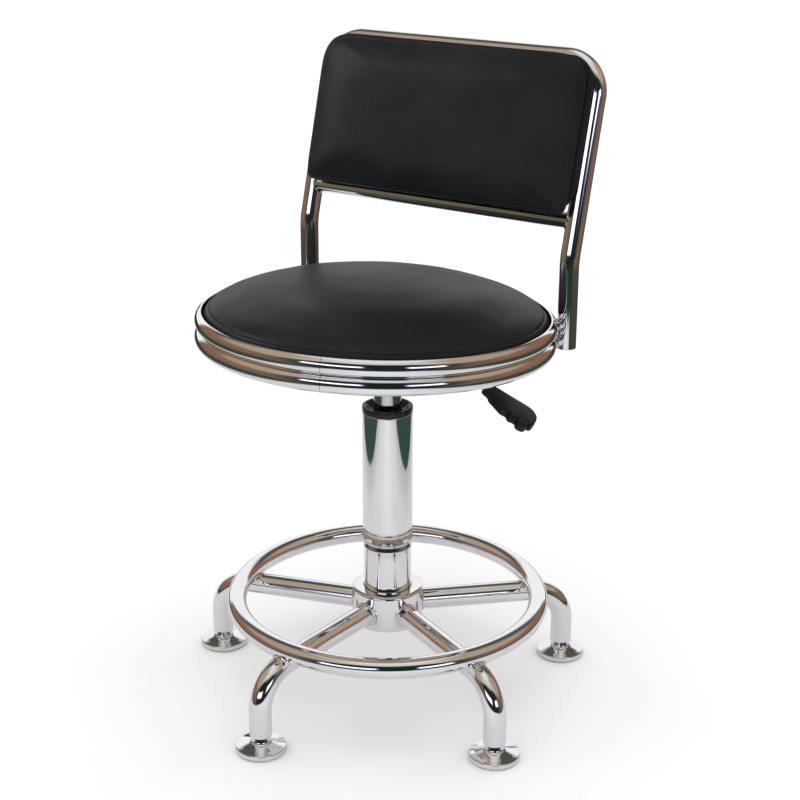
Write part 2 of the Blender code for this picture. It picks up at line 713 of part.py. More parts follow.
def build_lever(pivot, steel, plastic):
    """The bent rod that presses the valve button, its pivot pin, and the paddle that the hand lifts."""
    elbow = Vector((LEVER_ELBOW_X - LEVER_PIVOT_X, 0.0, LEVER_ELBOW_Z - LEVER_PIVOT_Z))
    outward = Vector((math.cos(LEVER_SLOPE), 0.0, -math.sin(LEVER_SLOPE)))
    rod_end = elbow + outward * (PADDLE_START + 0.030)
    inner_end = (-LEVER_PIVOT_X - 0.003, 0.0, 0.0005)
    path = rounded_path([inner_end, (0.0, 0.0, 0.0), elbow, rod_end], [0.03, 0.02], 3)
    rod = add("lever_rod", tube("lever_rod", path, LEVER_ROD_RADIUS), steel, pivot)
    sideways = (math.pi / 2, 0.0, 0.0)
    boss = cylinder(
        "lever_boss", LEVER_BOSS_RADIUS, -LEVER_BOSS_HALF_LENGTH, LEVER_BOSS_HALF_LENGTH, 16
    )
    combine(rod, add_tool("lever_boss", boss, pivot, rotation=sideways), "UNION")
    hole = cylinder("lever_hole", PIN_RADIUS + CLEARANCE, -0.04, 0.04)
    combine(rod, add_tool("lever_hole", hole, pivot, rotation=sideways))

    head = 0.0015
    outside = CHANNEL_HALF_WIDTH + CLEARANCE
    pin_profile = [
        (0.0, -outside - head),
        (0.005, -outside - head),
        (0.005, -outside),
        (PIN_RADIUS, -outside),
        (PIN_RADIUS, outside + head),
        (0.0, outside + head),
    ]
    pin = lathe("lever_pin", pin_profile, SMALL_STEPS)
    add("lever_pin", pin, steel, pivot, rotation=sideways)

    # The paddle's own frame: X runs out along the rod and Z is its thickness
    slope_frame = empty("paddle_frame", pivot, elbow, (0.0, LEVER_SLOPE, 0.0))
    tip = PADDLE_START + PADDLE_LENGTH
    neck = PADDLE_NECK_WIDTH / 2
    wide = PADDLE_TIP_WIDTH / 2
    outline = [(PADDLE_START, -neck), (tip - 0.012, -wide)]
    for i in range(1, 6):
        angle = -math.pi / 2 + math.pi * i / 6
        outline.append((tip - 0.012 + 0.012 * math.cos(angle), wide * math.sin(angle)))
    outline += [(tip - 0.012, wide), (PADDLE_START, neck)]
    middle = (PADDLE_START + tip) / 2
    layers = []
    for scale, height in ((0.9, -0.5), (1.0, -0.3), (1.0, 0.3), (0.9, 0.5)):
        layers.append(
            [
                (middle + (x - middle) * scale, y * scale, height * PADDLE_THICKNESS)
                for x, y in outline
            ]
        )
    paddle = add("lever_paddle", loft("lever_paddle", layers), plastic, slope_frame)
    bore_path = [Vector((0.03, 0.0, 0.0)), Vector((PADDLE_START + 0.031, 0.0, 0.0))]
    bore = tube("paddle_bore", bore_path, LEVER_ROD_RADIUS + CLEARANCE, sides=16)
    combine(paddle, add_tool("paddle_bore", bore, slope_frame))


def build_back_frame(axis, back, chrome):
    """The bent tube that carries the backrest, and the bar across it."""
    lean_back = math.sin(BACK_LEAN) * TOP_BAR_ALONG
    top_height = KNEE_HEIGHT + math.cos(BACK_LEAN) * TOP_BAR_ALONG
    right_side = [
        (FRAME_HALF_WIDTH, FRAME_BACK, FRAME_BOTTOM),
        (FRAME_HALF_WIDTH, FRAME_BACK, KNEE_HEIGHT),
        (FRAME_HALF_WIDTH, FRAME_BACK + lean_back, top_height),
    ]
    left_side = [(-x, y, z) for x, y, z in reversed(right_side)]
    radii = [KNEE_RADIUS, CORNER_RADIUS, CORNER_RADIUS, KNEE_RADIUS]
    path = rounded_path(right_side + left_side, radii, 5)
    add("back_frame", tube("back_frame", path, FRAME_RADIUS, FRAME_BORE), chrome, axis)

    reach = FRAME_HALF_WIDTH - 0.004
    bar_path = [Vector((-reach, 0.0, CROSSBAR_ALONG)), Vector((reach, 0.0, CROSSBAR_ALONG))]
    bar_mesh = tube("back_crossbar", bar_path, CROSSBAR_RADIUS, CROSSBAR_BORE)
    bar = add("back_crossbar", bar_mesh, chrome, back)
    upright = cylinder("upright_cut", FRAME_RADIUS + CLEARANCE, 0.01, 0.07, 16)
    for side in (-1, 1):
        place = (side * FRAME_HALF_WIDTH, 0.0, 0.0)
        combine(bar, add_tool(f"upright_cut_{side + 2}", upright.copy(), back, place))


def build_back_panel(back, steel, vinyl, plywood):
    """Board and cushion in front of the frame, held by four screws through tabs on the uprights."""
    middle = (PANEL_LOW + PANEL_HIGH) / 2
    height = PANEL_HIGH - PANEL_LOW
    board_front = PANEL_BACK + PANEL_BOARD_THICKNESS
    cushion_back = board_front + CLEARANCE

    def panel_layers(depths):
        """Rounded rectangles, each (how far its edge is drawn in, how far it is in front)."""
        layers = []
        for inset, forward in depths:
            outline = rounded_rectangle(
                PANEL_WIDTH - 2 * inset, height - 2 * inset, PANEL_CORNER - inset / 2
            )
            layers.append([(x, -forward, middle + z) for x, z in outline])
        return layers

    board_layers = panel_layers([(0.004, PANEL_BACK), (0.004, board_front)])
    board = add("back_board", loft("back_board", board_layers), plywood, back)
    cushion_layers = panel_layers(
        [
            (0.002, cushion_back),
            (0.0, cushion_back + 0.005),
            (0.001, PANEL_FRONT - 0.008),
            (0.009, PANEL_FRONT - 0.003),
            (0.026, PANEL_FRONT),
        ]
    )
    add("back_cushion", loft("back_cushion", cushion_layers), vinyl, back)

    tab_back = PANEL_BACK - CLEARANCE - TAB_THICKNESS
    outline = rounded_rectangle(TAB_WIDTH, TAB_HEIGHT, 0.005, 2)
    tab_layers = [[(x, -y, z) for x, z in outline] for y in (tab_back, tab_back + TAB_THICKNESS)]
    tab_mesh = loft("back_tab", tab_layers)
    forwards = (math.pi / 2, 0.0, 0.0)
    hole_radius = BACK_SCREW_RADIUS + CLEARANCE
    hole_front = board_front - 0.001
    head_seat = tab_back - CLEARANCE
    hole_mesh = cylinder("back_hole", hole_radius, tab_back - 0.001, hole_front)
    shank_length = hole_front - CLEARANCE - head_seat
    screw = screw_mesh("back_screw", BACK_SCREW_RADIUS, 0.004, 0.0025, shank_length)
    number = 0
    for side in (-1, 1):
        for level in TAB_LEVELS:
            number += 1
            place = (side * TAB_CENTRE_X, 0.0, level)
            tool = add_tool(f"back_hole_{number}", hole_mesh.copy(), back, place, forwards)
            tab = add(f"back_tab_{number}", tab_mesh.copy(), steel, back, place)
            combine(tab, tool)
            combine(board, tool)
            seated = (side * TAB_CENTRE_X, -head_seat, level)
            add(f"back_screw_{number}", screw.copy(), steel, back, seated, forwards)


def build_stool():
    chrome = material("chrome", (0.80, 0.80, 0.81), 1.0, 0.06)
    steel = material("zinc_steel", (0.62, 0.63, 0.65), 1.0, 0.35)
    plastic = material("black_plastic", (0.012, 0.012, 0.014), 0.0, 0.45)
    vinyl = material("black_vinyl", (0.018, 0.019, 0.021), 0.0, 0.38)
    rubber = material("rubber", (0.02, 0.02, 0.02), 0.0, 0.8)
    nylon = material("nylon", (0.05, 0.05, 0.055), 0.0, 0.5)
    plywood = material("plywood", (0.45, 0.31, 0.18), 0.0, 0.7)

    axis = empty("seat_axis", None, (AXIS_X, AXIS_Y, 0.0))
    seat = empty("seat_frame", axis, (0.0, 0.0, SEAT_HEIGHT), (-SEAT_PITCH, 0.0, 0.0))
    pivot = empty("lever_pivot", seat, (LEVER_PIVOT_X, 0.0, LEVER_PIVOT_Z))
    back = empty("back_plane", axis, (0.0, FRAME_BACK, KNEE_HEIGHT), (-BACK_LEAN, 0.0, 0.0))

    build_base(axis, chrome, steel, nylon)
    build_column(axis, chrome, steel, plastic)
    build_thrust_bearing(axis, steel, rubber)
    build_piston(axis, steel, plastic)
    build_pressure_tube(axis, steel, plastic)
    screw_tools = build_seat_bracket(axis, seat, steel)
    build_seat(seat, chrome, vinyl, plywood, screw_tools)
    build_lever(pivot, steel, plastic)
    build_back_frame(axis, back, chrome)
    build_back_panel(back, steel, vinyl, plywood)


clear_scene()
build_stool()
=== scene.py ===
"""The looks of the stylist stool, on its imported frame: metres, +Z up, and the sitter faces -Y.

Radii are measured from the axis that the seat turns on, and heights from the floor.
"""

import json
from math import asin, cos, exp, hypot, pi, radians, sin, sqrt, tan, tau

import bmesh
import bpy
from mathutils import Matrix, Vector, noise
from mathutils.bvhtree import BVHTree

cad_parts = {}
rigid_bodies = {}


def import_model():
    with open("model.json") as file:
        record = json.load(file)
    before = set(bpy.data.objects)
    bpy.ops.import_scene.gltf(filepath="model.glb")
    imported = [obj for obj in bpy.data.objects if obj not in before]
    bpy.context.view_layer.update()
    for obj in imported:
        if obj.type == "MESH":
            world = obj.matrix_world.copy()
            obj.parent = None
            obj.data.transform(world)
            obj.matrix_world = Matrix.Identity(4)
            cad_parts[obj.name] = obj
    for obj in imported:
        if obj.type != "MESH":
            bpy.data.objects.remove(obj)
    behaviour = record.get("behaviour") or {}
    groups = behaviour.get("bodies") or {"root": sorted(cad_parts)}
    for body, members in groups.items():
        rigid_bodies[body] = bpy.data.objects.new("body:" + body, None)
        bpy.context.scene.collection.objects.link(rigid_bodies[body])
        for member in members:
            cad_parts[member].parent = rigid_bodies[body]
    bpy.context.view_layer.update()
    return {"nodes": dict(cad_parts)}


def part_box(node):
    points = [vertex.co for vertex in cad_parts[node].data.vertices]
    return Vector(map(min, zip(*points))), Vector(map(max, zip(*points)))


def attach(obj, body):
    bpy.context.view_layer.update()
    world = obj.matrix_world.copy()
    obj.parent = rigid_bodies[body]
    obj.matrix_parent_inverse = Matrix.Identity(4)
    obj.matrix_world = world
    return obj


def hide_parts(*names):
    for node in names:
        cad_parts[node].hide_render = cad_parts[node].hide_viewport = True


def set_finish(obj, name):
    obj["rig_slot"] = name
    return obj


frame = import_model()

column_low, column_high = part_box("column_tube")
AXIS = (column_low + column_high) / 2

UP = Vector((0.0, 0.0, 1.0))
SQUARE = ((1, 1), (-1, 1), (-1, -1), (1, -1))

# The gap between parts that touch, the sides of a turned part, and the angle that a sharp edge starts at
CLEARANCE = 0.0003
FINE = 128
SHARP_ANGLE = radians(35.0)

# Base
LEG_COUNT = 5
FIRST_LEG_ANGLE = radians(47.4)
LEG_RADIUS = 0.011
LEG_BORE = 0.0096
LEG_HUB_HEIGHT = 0.084
LEG_DROP = radians(2.4)
LEG_BEND_RADIUS = 0.038
FOOT_REACH = 0.192
LEG_END_HEIGHT = 0.0165
HUB_RADIUS = 0.036
HUB_BOTTOM = 0.067
HUB_TOP = 0.106
HUB_BORE = 0.0248
RING_RADIUS = 0.1553
RING_TUBE_RADIUS = 0.01
RING_HEIGHT = 0.0927
GLIDE_RADIUS = 0.0247
STUD_RADIUS = 0.005
STUD_TOP = 0.042
INSERT_TOP = 0.03
PAD_RADIUS = 0.02
PAD_THICKNESS = 0.0022

# Gas lift
COLUMN_RADIUS = 0.0253
COLUMN_LOWER_RADIUS = 0.0245
COLUMN_WAIST_RADIUS = 0.0235
COLUMN_BORE = 0.0228
COLUMN_BOTTOM = 0.068
COLUMN_STEP = 0.147
COLUMN_STEP_TOP = 0.158
COLUMN_TOP = 0.296
BUSHING_BOTTOM = 0.215
BUSHING_TOP = 0.302
TUBE_RADIUS = 0.014
TUBE_BORE = 0.0122
TUBE_BOTTOM = 0.1005
TAPER_START = 0.322
TUBE_TOP = 0.354
TUBE_TIP_RADIUS = 0.013
VALVE_BOTTOM = 0.33
VALVE_BORE = 0.0045
SOCKET_RADIUS = 0.019
SOCKET_BOTTOM = 0.32
SOCKET_TOP = 0.353

# Seat. Its parts lie in a frame that leans back, whose origin is on the seat's axis, halfway up the rim
SEAT_HEIGHT = 0.3868
SEAT_PITCH = radians(3.0)
SEAT_FORWARD = 0.0204
RIM_RADIUS = 0.1744
RIM_HALF_HEIGHT = 0.01625
RIM_BEAD_DEPTH = 0.0045
RIM_LIP_RADIUS = 0.158
RIM_WALL_RADIUS = 0.168
RIM_LIP_TOP = -0.0144
RIM_SEAM_ANGLE = radians(-73.0)
RIM_SEAM_WIDTH = 0.0004
BOARD_RADIUS = 0.1655
BOARD_BOTTOM = -0.0141
BOARD_TOP = -0.0021
CUSHION_RADIUS = 0.1672

# Upholstery: the cover's hem and staples under the seat, the border seams, and the simulation's length
HEM_INNER = 0.1405
HEM_STAPLED = 0.15
HEM_OUTER = 0.1574
STAPLE_COUNT = 40
STAPLE_HALF_WIDTH = 0.005
STAPLE_WIRE = 0.00035
SEAM_INSET = 0.0036
SEAM_DEPTH = 0.001
SEAM_WIDTH = 0.0011
SEAM_PUCKER = 0.0003
CLOTH_FRAMES = 20

# Seat bracket, a folded channel whose open ends face left and right
BRACKET_LENGTH = 0.12
BRACKET_HALF_WIDTH = 0.06
CHANNEL_HALF_WIDTH = 0.032
BRACKET_TOP = -0.0144
BRACKET_SHEET = 0.002
CHANNEL_FLOOR = -0.0364
BRACKET_SCREWS = [(x, y) for x in (-0.04, 0.04) for y in (-0.047, 0.047)]
SCREW_RADIUS = 0.003
SCREW_HEAD_RADIUS = 0.0055
SCREW_HEAD_HEIGHT = 0.0035
SCREW_HOLE_TOP = -0.0046

# Height lever, in the seat's frame
LEVER_PIVOT = Vector((0.03, 0.0, -0.0245))
LEVER_ELBOW = Vector((0.0778, 0.0, -0.0268))
LEVER_ROD_RADIUS = 0.0035
LEVER_BOSS_RADIUS = 0.0065
LEVER_BOSS_HALF_LENGTH = 0.0285
LEVER_SLOPE = radians(27.0)
PIN_RADIUS = 0.003

# Back
FRAME_RADIUS = 0.0095
FRAME_BORE = 0.0083
FRAME_HALF_WIDTH = 0.1525
FRAME_BACK = 0.084
FRAME_BOTTOM = 0.366
KNEE_HEIGHT = 0.4523
KNEE_RADIUS = 0.06
BACK_LEAN = radians(15.8)
TOP_BAR_ALONG = 0.1917
CORNER_RADIUS = 0.035
CROSSBAR_ALONG = 0.0387
CROSSBAR_RADIUS = 0.008
PANEL_WIDTH = 0.309
PANEL_LOW = 0.0425
PANEL_HIGH = 0.1935
PANEL_CORNER = 0.028
PAD_OVER = 0.0035
PAD_UNDER = 0.0062
PAD_LOWER_CORNER = 0.012
PANEL_BACK = 0.0098
PANEL_BOARD_FRONT = 0.0158
TAB_WIDTH = 0.024
TAB_HEIGHT = 0.022
TAB_THICKNESS = 0.0025
TAB_CENTRE_X = 0.1335
TAB_LEVELS = (0.078, 0.14)
BACK_SCREW_RADIUS = 0.002

# Camera and studio, in degrees round the axis from the sitter's front, towards the sitter's left
CAMERA_AZIMUTH = 33.1
CAMERA_TILT = 20.098
CAMERA_DISTANCE = 1.5752
CAMERA_HEIGHT = 0.8834
CAMERA_LENS = 76.14
CAMERA_SHIFT = 0.01556
PAPER_HALF_WIDTH = 0.61
PAPER_FRONT = 1.22


# Places

def at(x, y, z):
    """A place moved from the origin."""
    return Matrix.Translation((x, y, z))


def spin(angle, axis):
    """A place turned about one of the axes."""
    return Matrix.Rotation(angle, 4, axis)


ON_AXIS = at(AXIS.x, AXIS.y, 0.0)
SEAT = ON_AXIS @ at(0.0, 0.0, SEAT_HEIGHT) @ spin(-SEAT_PITCH, "X")
SEAT_ROUND = SEAT @ at(0.0, -SEAT_FORWARD, 0.0)
LEVER = SEAT @ Matrix.Translation(LEVER_PIVOT)
BACK = ON_AXIS @ at(0.0, FRAME_BACK, KNEE_HEIGHT) @ spin(-BACK_LEAN, "X")
SIDEWAYS = spin(pi / 2, "X")


# Meshes

def polar(radius, angle, z=0.0):
    """The point at a radius and an angle about Z."""
    return Vector((radius * cos(angle), radius * sin(angle), z))


def finish_mesh(bm, sharp=SHARP_ANGLE):
    """The bmesh as a mesh with its faces pointing out, smooth except at edges over the angle."""
    bmesh.ops.remove_doubles(bm, verts=bm.verts, dist=1e-6)
    bmesh.ops.dissolve_degenerate(bm, edges=bm.edges, dist=1e-6)
    bmesh.ops.recalc_face_normals(bm, faces=bm.faces)
    mesh = bpy.data.meshes.new("mesh")
    bm.to_mesh(mesh)
    bm.free()
    mesh.shade_smooth()
    mesh.set_sharp_from_angle(angle=sharp)
    return mesh


def rounded(corners, steps=4):
    """Corner points (x, y, radius) as an outline with its corners rounded."""
    outline = []
    for i, (x, y, radius) in enumerate(corners):
        corner = Vector((x, y))
        if radius == 0.0:
            outline.append((x, y))
            continue
        back = Vector(corners[i - 1][:2]) - corner
        ahead = Vector(corners[(i + 1) % len(corners)][:2]) - corner
        reach = radius / tan(back.angle(ahead) / 2)
        reach = min(reach, 0.49 * back.length, 0.49 * ahead.length)
        for k in range(steps + 1):
            t = k / steps
            point = corner + back.normalized() * reach * (1 - t) ** 2
            point += ahead.normalized() * reach * t**2
            outline.append((point.x, point.y))
    return outline


def loft(rings, closed=False, sharp=SHARP_ANGLE):
    """Equal rings of points joined one after the other, with a flat face at each end unless it's closed."""
    bm = bmesh.new()
    rings = [[bm.verts.new(point) for point in ring] for ring in rings]
    for low, high in zip(rings, rings[1:] + rings[:1] if closed else rings[1:]):
        for k in range(len(low)):
            bm.faces.new((low[k - 1], low[k], high[k], high[k - 1]))
    if not closed:
        bm.faces.new(rings[0])
        bm.faces.new(rings[-1])
    return finish_mesh(bm, sharp)


def lathe(section, steps=FINE, start=0.0, sweep=tau):
    """A closed section (radius, height) turned about Z, with flat ends if it isn't a full turn."""
    full = sweep > tau - 1e-6
    angles = [start + sweep * i / steps for i in range(steps if full else steps + 1)]
    return loft([[polar(radius, angle, z) for radius, z in section] for angle in angles], full)


def turned(corners, corner_steps=4, steps=FINE):
    """A section turned about Z, from its corners (radius, height, rounding)."""
    return lathe(rounded(corners, corner_steps), steps)


def sleeve(inner, outer, low, high, rounding=(0.0, 0.0, 0.0, 0.0), corner_steps=4, steps=FINE):
    """A ring turned about Z, or a bar without a bore. The rounding goes from low inside to high inside."""
    corners = ((inner, low), (outer, low), (outer, high), (inner, high))
    return turned([(*corner, radius) for corner, radius in zip(corners, rounding)], corner_steps, steps)


def bent_path(corners, radii, steps=24):
    """Straight lines between corners, with an arc of the given radius at each inner corner."""
    path = [Vector(corners[0])]
    for before, corner, after, radius in zip(corners, corners[1:], corners[2:], radii):
        corner = Vector(corner)
        back = (Vector(before) - corner).normalized()
        ahead = (Vector(after) - corner).normalized()
        half_angle = back.angle(ahead) / 2
        reach = radius / tan(half_angle)
        centre = corner + (back + ahead).normalized() * radius / sin(half_angle)
        start = corner + back * reach - centre
        normal = start.cross(corner + ahead * reach - centre).normalized()
        turn = pi - 2 * half_angle
        for i in range(steps + 1):
            path.append(centre + Matrix.Rotation(turn * i / steps, 3, normal) @ start)
    path.append(Vector(corners[-1]))
    return path


def tube_rings(path, radii, sides, closed):
    """Circles across a path, with the twist between one and the next kept to a minimum."""
    count = len(path)
    rings = []
    across = None
    for i, point in enumerate(path):
        before = path[i - 1] if closed or i else point
        after = path[(i + 1) % count] if closed or i + 1 < count else point
        heading = (after - before).normalized()
        if across is None:
            across = heading.orthogonal()
        across = (across - heading * across.dot(heading)).normalized()
        side = heading.cross(across)
        ring = []
        for k in range(sides):
            angle = tau * k / sides
            offset = across * cos(angle) + side * sin(angle)
            ring.append(point + offset * radii[i])
        rings.append(ring)
    return rings


def tube(path, radius, bore=0.0, sides=40, closed=False):
    """A round bar or tube along a path. The radius is one number or one for each point of the path."""
    radii = radius if isinstance(radius, list) else [radius] * len(path)
    rings = tube_rings(path, radii, sides, closed)
    if bore:
        rings += reversed(tube_rings(path, [bore] * len(path), sides, closed))
    return loft(rings, closed or bore > 0.0)


def bead(loop, radius=0.0016, ripple=0.0032):
    """A weld bead along a closed loop of points, with the ripples that welding leaves."""
    radii = []
    run = 0.0
    for i, point in enumerate(loop):
        run += (point - loop[i - 1]).length
        wave = 0.1 * sin(tau * run / ripple)
        radii.append(radius * (1.0 + wave + 0.15 * noise.noise(point * 260.0)))
    return tube(loop, radii, sides=10, closed=True)


def joined(meshes):
    """One smooth mesh that holds copies of several, each (mesh, place)."""
    bm = bmesh.new()
    for mesh, place in meshes:
        part = mesh.copy()
        part.transform(place)
        bm.from_mesh(part)
    made = bpy.data.meshes.new("joined")
    bm.to_mesh(made)
    bm.free()
    made.shade_smooth()
    return made


def applied(obj):
    """The object's mesh with its modifiers applied."""
    depsgraph = bpy.context.evaluated_depsgraph_get()
    return bpy.data.meshes.new_from_object(obj.evaluated_get(depsgraph), depsgraph=depsgraph)


def cut(mesh, *tools, operation="DIFFERENCE"):
    """The mesh with each tool cut out of it or joined to it."""
    objects = []
    for data in (mesh, *tools):
        obj = bpy.data.objects.new("cutting", data)
        bpy.context.scene.collection.objects.link(obj)
        objects.append(obj)
    for cutter in objects[1:]:
        boolean = objects[0].modifiers.new("cut", "BOOLEAN")
        boolean.operation = operation
        boolean.solver = "EXACT"
        boolean.object = cutter
    bpy.context.view_layer.update()
    made = applied(objects[0])
    for obj in objects:
        bpy.data.objects.remove(obj)
    made.shade_smooth()
    made.set_sharp_from_angle(angle=SHARP_ANGLE)
    return made


def piece(name, mesh, finish, body, *nodes, place=ON_AXIS):
    """Show a copy of a mesh at its place, riding on a body and standing for the CAD nodes named."""
    made = bpy.data.objects.new(name, mesh.copy())
    made.data.materials.clear()
    made.data.materials.append(FINISHES[finish])
    bpy.context.scene.collection.objects.link(made)
    made.matrix_world = place
    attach(made, body)
    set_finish(made, SHARED_SLOTS.get(finish, finish))
    if nodes:
        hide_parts(*nodes)


# Materials

def set_inputs(tree, shader, inputs):
    """Set a node's inputs to values, or link them to sockets."""
    for key, value in inputs.items():
        if isinstance(value, bpy.types.NodeSocket):
            tree.links.new(value, shader.inputs[key])
        else:
            shader.inputs[key].default_value = value


def node(tree, kind, inputs=None, **settings):
    """A new shader node with its settings and inputs."""
    made = tree.nodes.new("ShaderNode" + kind)
    for key, value in settings.items():
        setattr(made, key, value)
    set_inputs(tree, made, inputs or {})
    return made


def maths(tree, operation, *values, clamp=False):
    """The result of one arithmetic node."""
    inputs = dict(enumerate(values))
    return node(tree, "Math", inputs, operation=operation, use_clamp=clamp).outputs[0]


def remap(tree, value, low, high, from_low=0.0, from_high=1.0):
    """A value's range stretched on to another."""
    inputs = {0: value, 1: from_low, 2: from_high, 3: low, 4: high}
    return node(tree, "MapRange", inputs).outputs[0]


def rising(tree, value, start, end):
    """0 up to the start, 1 from the end, and a straight rise between them."""
    return remap(tree, value, 0.0, 1.0, start, end)


def weighted(tree, *parts):
    """The sum of two values, each (value, weight)."""
    scaled = [maths(tree, "MULTIPLY", value, weight) for value, weight in parts]
    return maths(tree, "ADD", *scaled)


def ramp(tree, factor, stops, interpolation="EASE"):
    """Colours (position, colour) that a factor runs through."""
    made = node(tree, "ValToRGB", {0: factor})
    made.color_ramp.interpolation = interpolation
    elements = made.color_ramp.elements
    while len(elements) < len(stops):
        elements.new(1.0)
    for element, (position, colour) in zip(elements, stops):
        element.position = position
        element.color = (*colour, 1.0)
    return made.outputs[0]


def mixed(tree, factor, first, second):
    """Two colours mixed."""
    inputs = {0: factor, 6: first, 7: second}
    return node(tree, "Mix", inputs, data_type="RGBA").outputs[2]


def noise_texture(tree, place, scale, detail=3.0, stretch=(1.0, 1.0, 1.0)):
    """Noise of so many features to the metre, drawn out by a stretch."""
    mapped = node(tree, "Mapping", {"Vector": place, "Scale": stretch}).outputs[0]
    inputs = {"Vector": mapped, "Scale": scale, "Detail": detail}
    return node(tree, "TexNoise", inputs).outputs[0]


def start_finish(name):
    """A new finish's node tree, and the place that it is coloured by."""
    made = bpy.data.materials.new(name)
    made.use_nodes = True
    FINISHES[name] = made
    return made.node_tree, node(made.node_tree, "TexCoord").outputs["Object"]


def coat(tree, colour, roughness, relief, metallic=0.0, specular=0.5):
    """Set the finish's surface. Its relief is a height, a strength and a distance."""
    bump = node(tree, "Bump", dict(zip(("Height", "Strength", "Distance"), relief)))
    set_inputs(tree, tree.nodes["Principled BSDF"], {
        "Base Color": colour,
        "Roughness": roughness,
        "Metallic": metallic,
        "Specular IOR Level": specular,
        "Normal": bump.outputs[0],
    })


def two_tone(tree, factor, dark, light):
    """A dark colour that turns to a light one over the middle of the factor's range."""
    return ramp(tree, factor, [(0.3, dark), (0.7, light)])


def metal(name, dark, light, roughness, ripple, stretch=(1.0, 1.0, 1.0)):
    """Metal with cloudy changes of colour and polish, fine marks and a slightly wavy surface."""
    tree, place = start_finish(name)
    cloud = noise_texture(tree, place, 22.0, 4.0)
    marks = noise_texture(tree, place, 700.0, 2.0, stretch)
    waves = noise_texture(tree, place, 45.0, 1.0)
    wear = weighted(tree, (cloud, 0.7), (marks, 0.3))
    polish = remap(tree, wear, roughness * 0.6, roughness * 1.5, 0.3, 0.7)
    surface = weighted(tree, (waves, 1.0), (marks, 0.02))
    coat(tree, two_tone(tree, cloud, dark, light), polish, (surface, 0.35, ripple), metallic=1.0)


def vinyl(name, dark, light, roughness):
    """Coated upholstery cloth: pebbled grain, faint stretch marks, and a satin coat that varies."""
    tree, place = start_finish(name)
    cloud = noise_texture(tree, place, 16.0, 4.0)
    pebbles = node(tree, "TexVoronoi", {"Vector": place, "Scale": 850.0}).outputs[0]
    creases = noise_texture(tree, place, 420.0, 3.0)
    grain = weighted(tree, (pebbles, 1.0), (creases, 0.8))
    tone = weighted(tree, (cloud, 0.75), (creases, 0.25))
    satin = remap(tree, tone, roughness - 0.05, roughness + 0.06, 0.3, 0.7)
    coat(tree, two_tone(tree, tone, dark, light), satin, (grain, 0.3, 0.00012), specular=0.18)


def moulded(name, dark, light, roughness, grain_size=1500.0):
    """Moulded plastic or rubber with a fine spark-eroded grain."""
    tree, place = start_finish(name)
    cloud = noise_texture(tree, place, 60.0, 4.0)
    grain = noise_texture(tree, place, grain_size, 2.0)
    satin = remap(tree, cloud, roughness - 0.06, roughness + 0.08, 0.3, 0.7)
    coat(tree, two_tone(tree, cloud, dark, light), satin, (grain, 0.25, 0.00008), specular=0.3)


def sewing_thread():
    """Twisted sewing thread."""
    tree, place = start_finish("thread")
    twist = noise_texture(tree, place, 2600.0, 1.0)
    colour = ramp(tree, twist, [(0.35, (0.01, 0.01, 0.012)), (0.65, (0.035, 0.036, 0.04))])
    coat(tree, colour, 0.75, (twist, 0.5, 0.0001))


def birch_plywood():
    """Birch plywood with grain along X and darker pores."""
    tree, place = start_finish("plywood")
    grain = noise_texture(tree, place, 90.0, 5.0, (0.08, 1.0, 1.0))
    pores = noise_texture(tree, place, 900.0, 2.0, (0.05, 1.0, 1.0))
    tone = weighted(tree, (grain, 0.7), (pores, 0.3))
    colours = [(0.3, (0.3, 0.18, 0.09)), (0.5, (0.48, 0.33, 0.19)), (0.7, (0.6, 0.44, 0.28))]
    coat(tree, ramp(tree, tone, colours), remap(tree, pores, 0.62, 0.82), (tone, 0.3, 0.0003))


FINISHES = {}
metal("chrome", (0.86, 0.86, 0.87), (0.91, 0.91, 0.92), 0.045, 0.00003)
metal("weld_chrome", (0.7, 0.68, 0.67), (0.86, 0.85, 0.84), 0.12, 0.0003)
metal("ground_steel", (0.62, 0.62, 0.64), (0.74, 0.74, 0.76), 0.1, 0.00002, (0.1, 0.1, 1.0))
metal("zinc_steel", (0.5, 0.5, 0.5), (0.68, 0.68, 0.69), 0.34, 0.0001)
vinyl("black_vinyl", (0.0065, 0.0076, 0.0085), (0.0115, 0.0128, 0.014), 0.44)
moulded("black_plastic", (0.005, 0.005, 0.007), (0.011, 0.011, 0.013), 0.46)
moulded("collar_plastic", (0.008, 0.007, 0.008), (0.018, 0.016, 0.018), 0.22)
moulded("nylon", (0.03, 0.03, 0.034), (0.055, 0.055, 0.06), 0.5)
moulded("rubber", (0.01, 0.01, 0.01), (0.022, 0.022, 0.022), 0.75, 900.0)
sewing_thread()
birch_plywood()

# Finishes that take another one's slot in the record
SHARED_SLOTS = {"weld_chrome": "chrome", "collar_plastic": "black_plastic", "thread": "black_vinyl"}


# Base

def circle(radius, height, steps=240, start=0.0, sweep=tau):
    """Points on a level circle, which doesn't repeat its first point."""
    return [polar(radius, start + sweep * i / steps, height) for i in range(steps)]


def leg_line(reach):
    """Height of the straight part of a leg's middle line."""
    return LEG_HUB_HEIGHT - (reach - HUB_RADIUS) * tan(LEG_DROP)


def hub_weld_loop(steps=96):
    """Where a leg's surface meets the hub."""
    loop = []
    for edge in circle(LEG_RADIUS, 0.0, steps):
        reach = sqrt(HUB_RADIUS**2 - edge.x**2)
        loop.append(Vector((reach, edge.x, leg_line(reach) + edge.y)))
    return loop


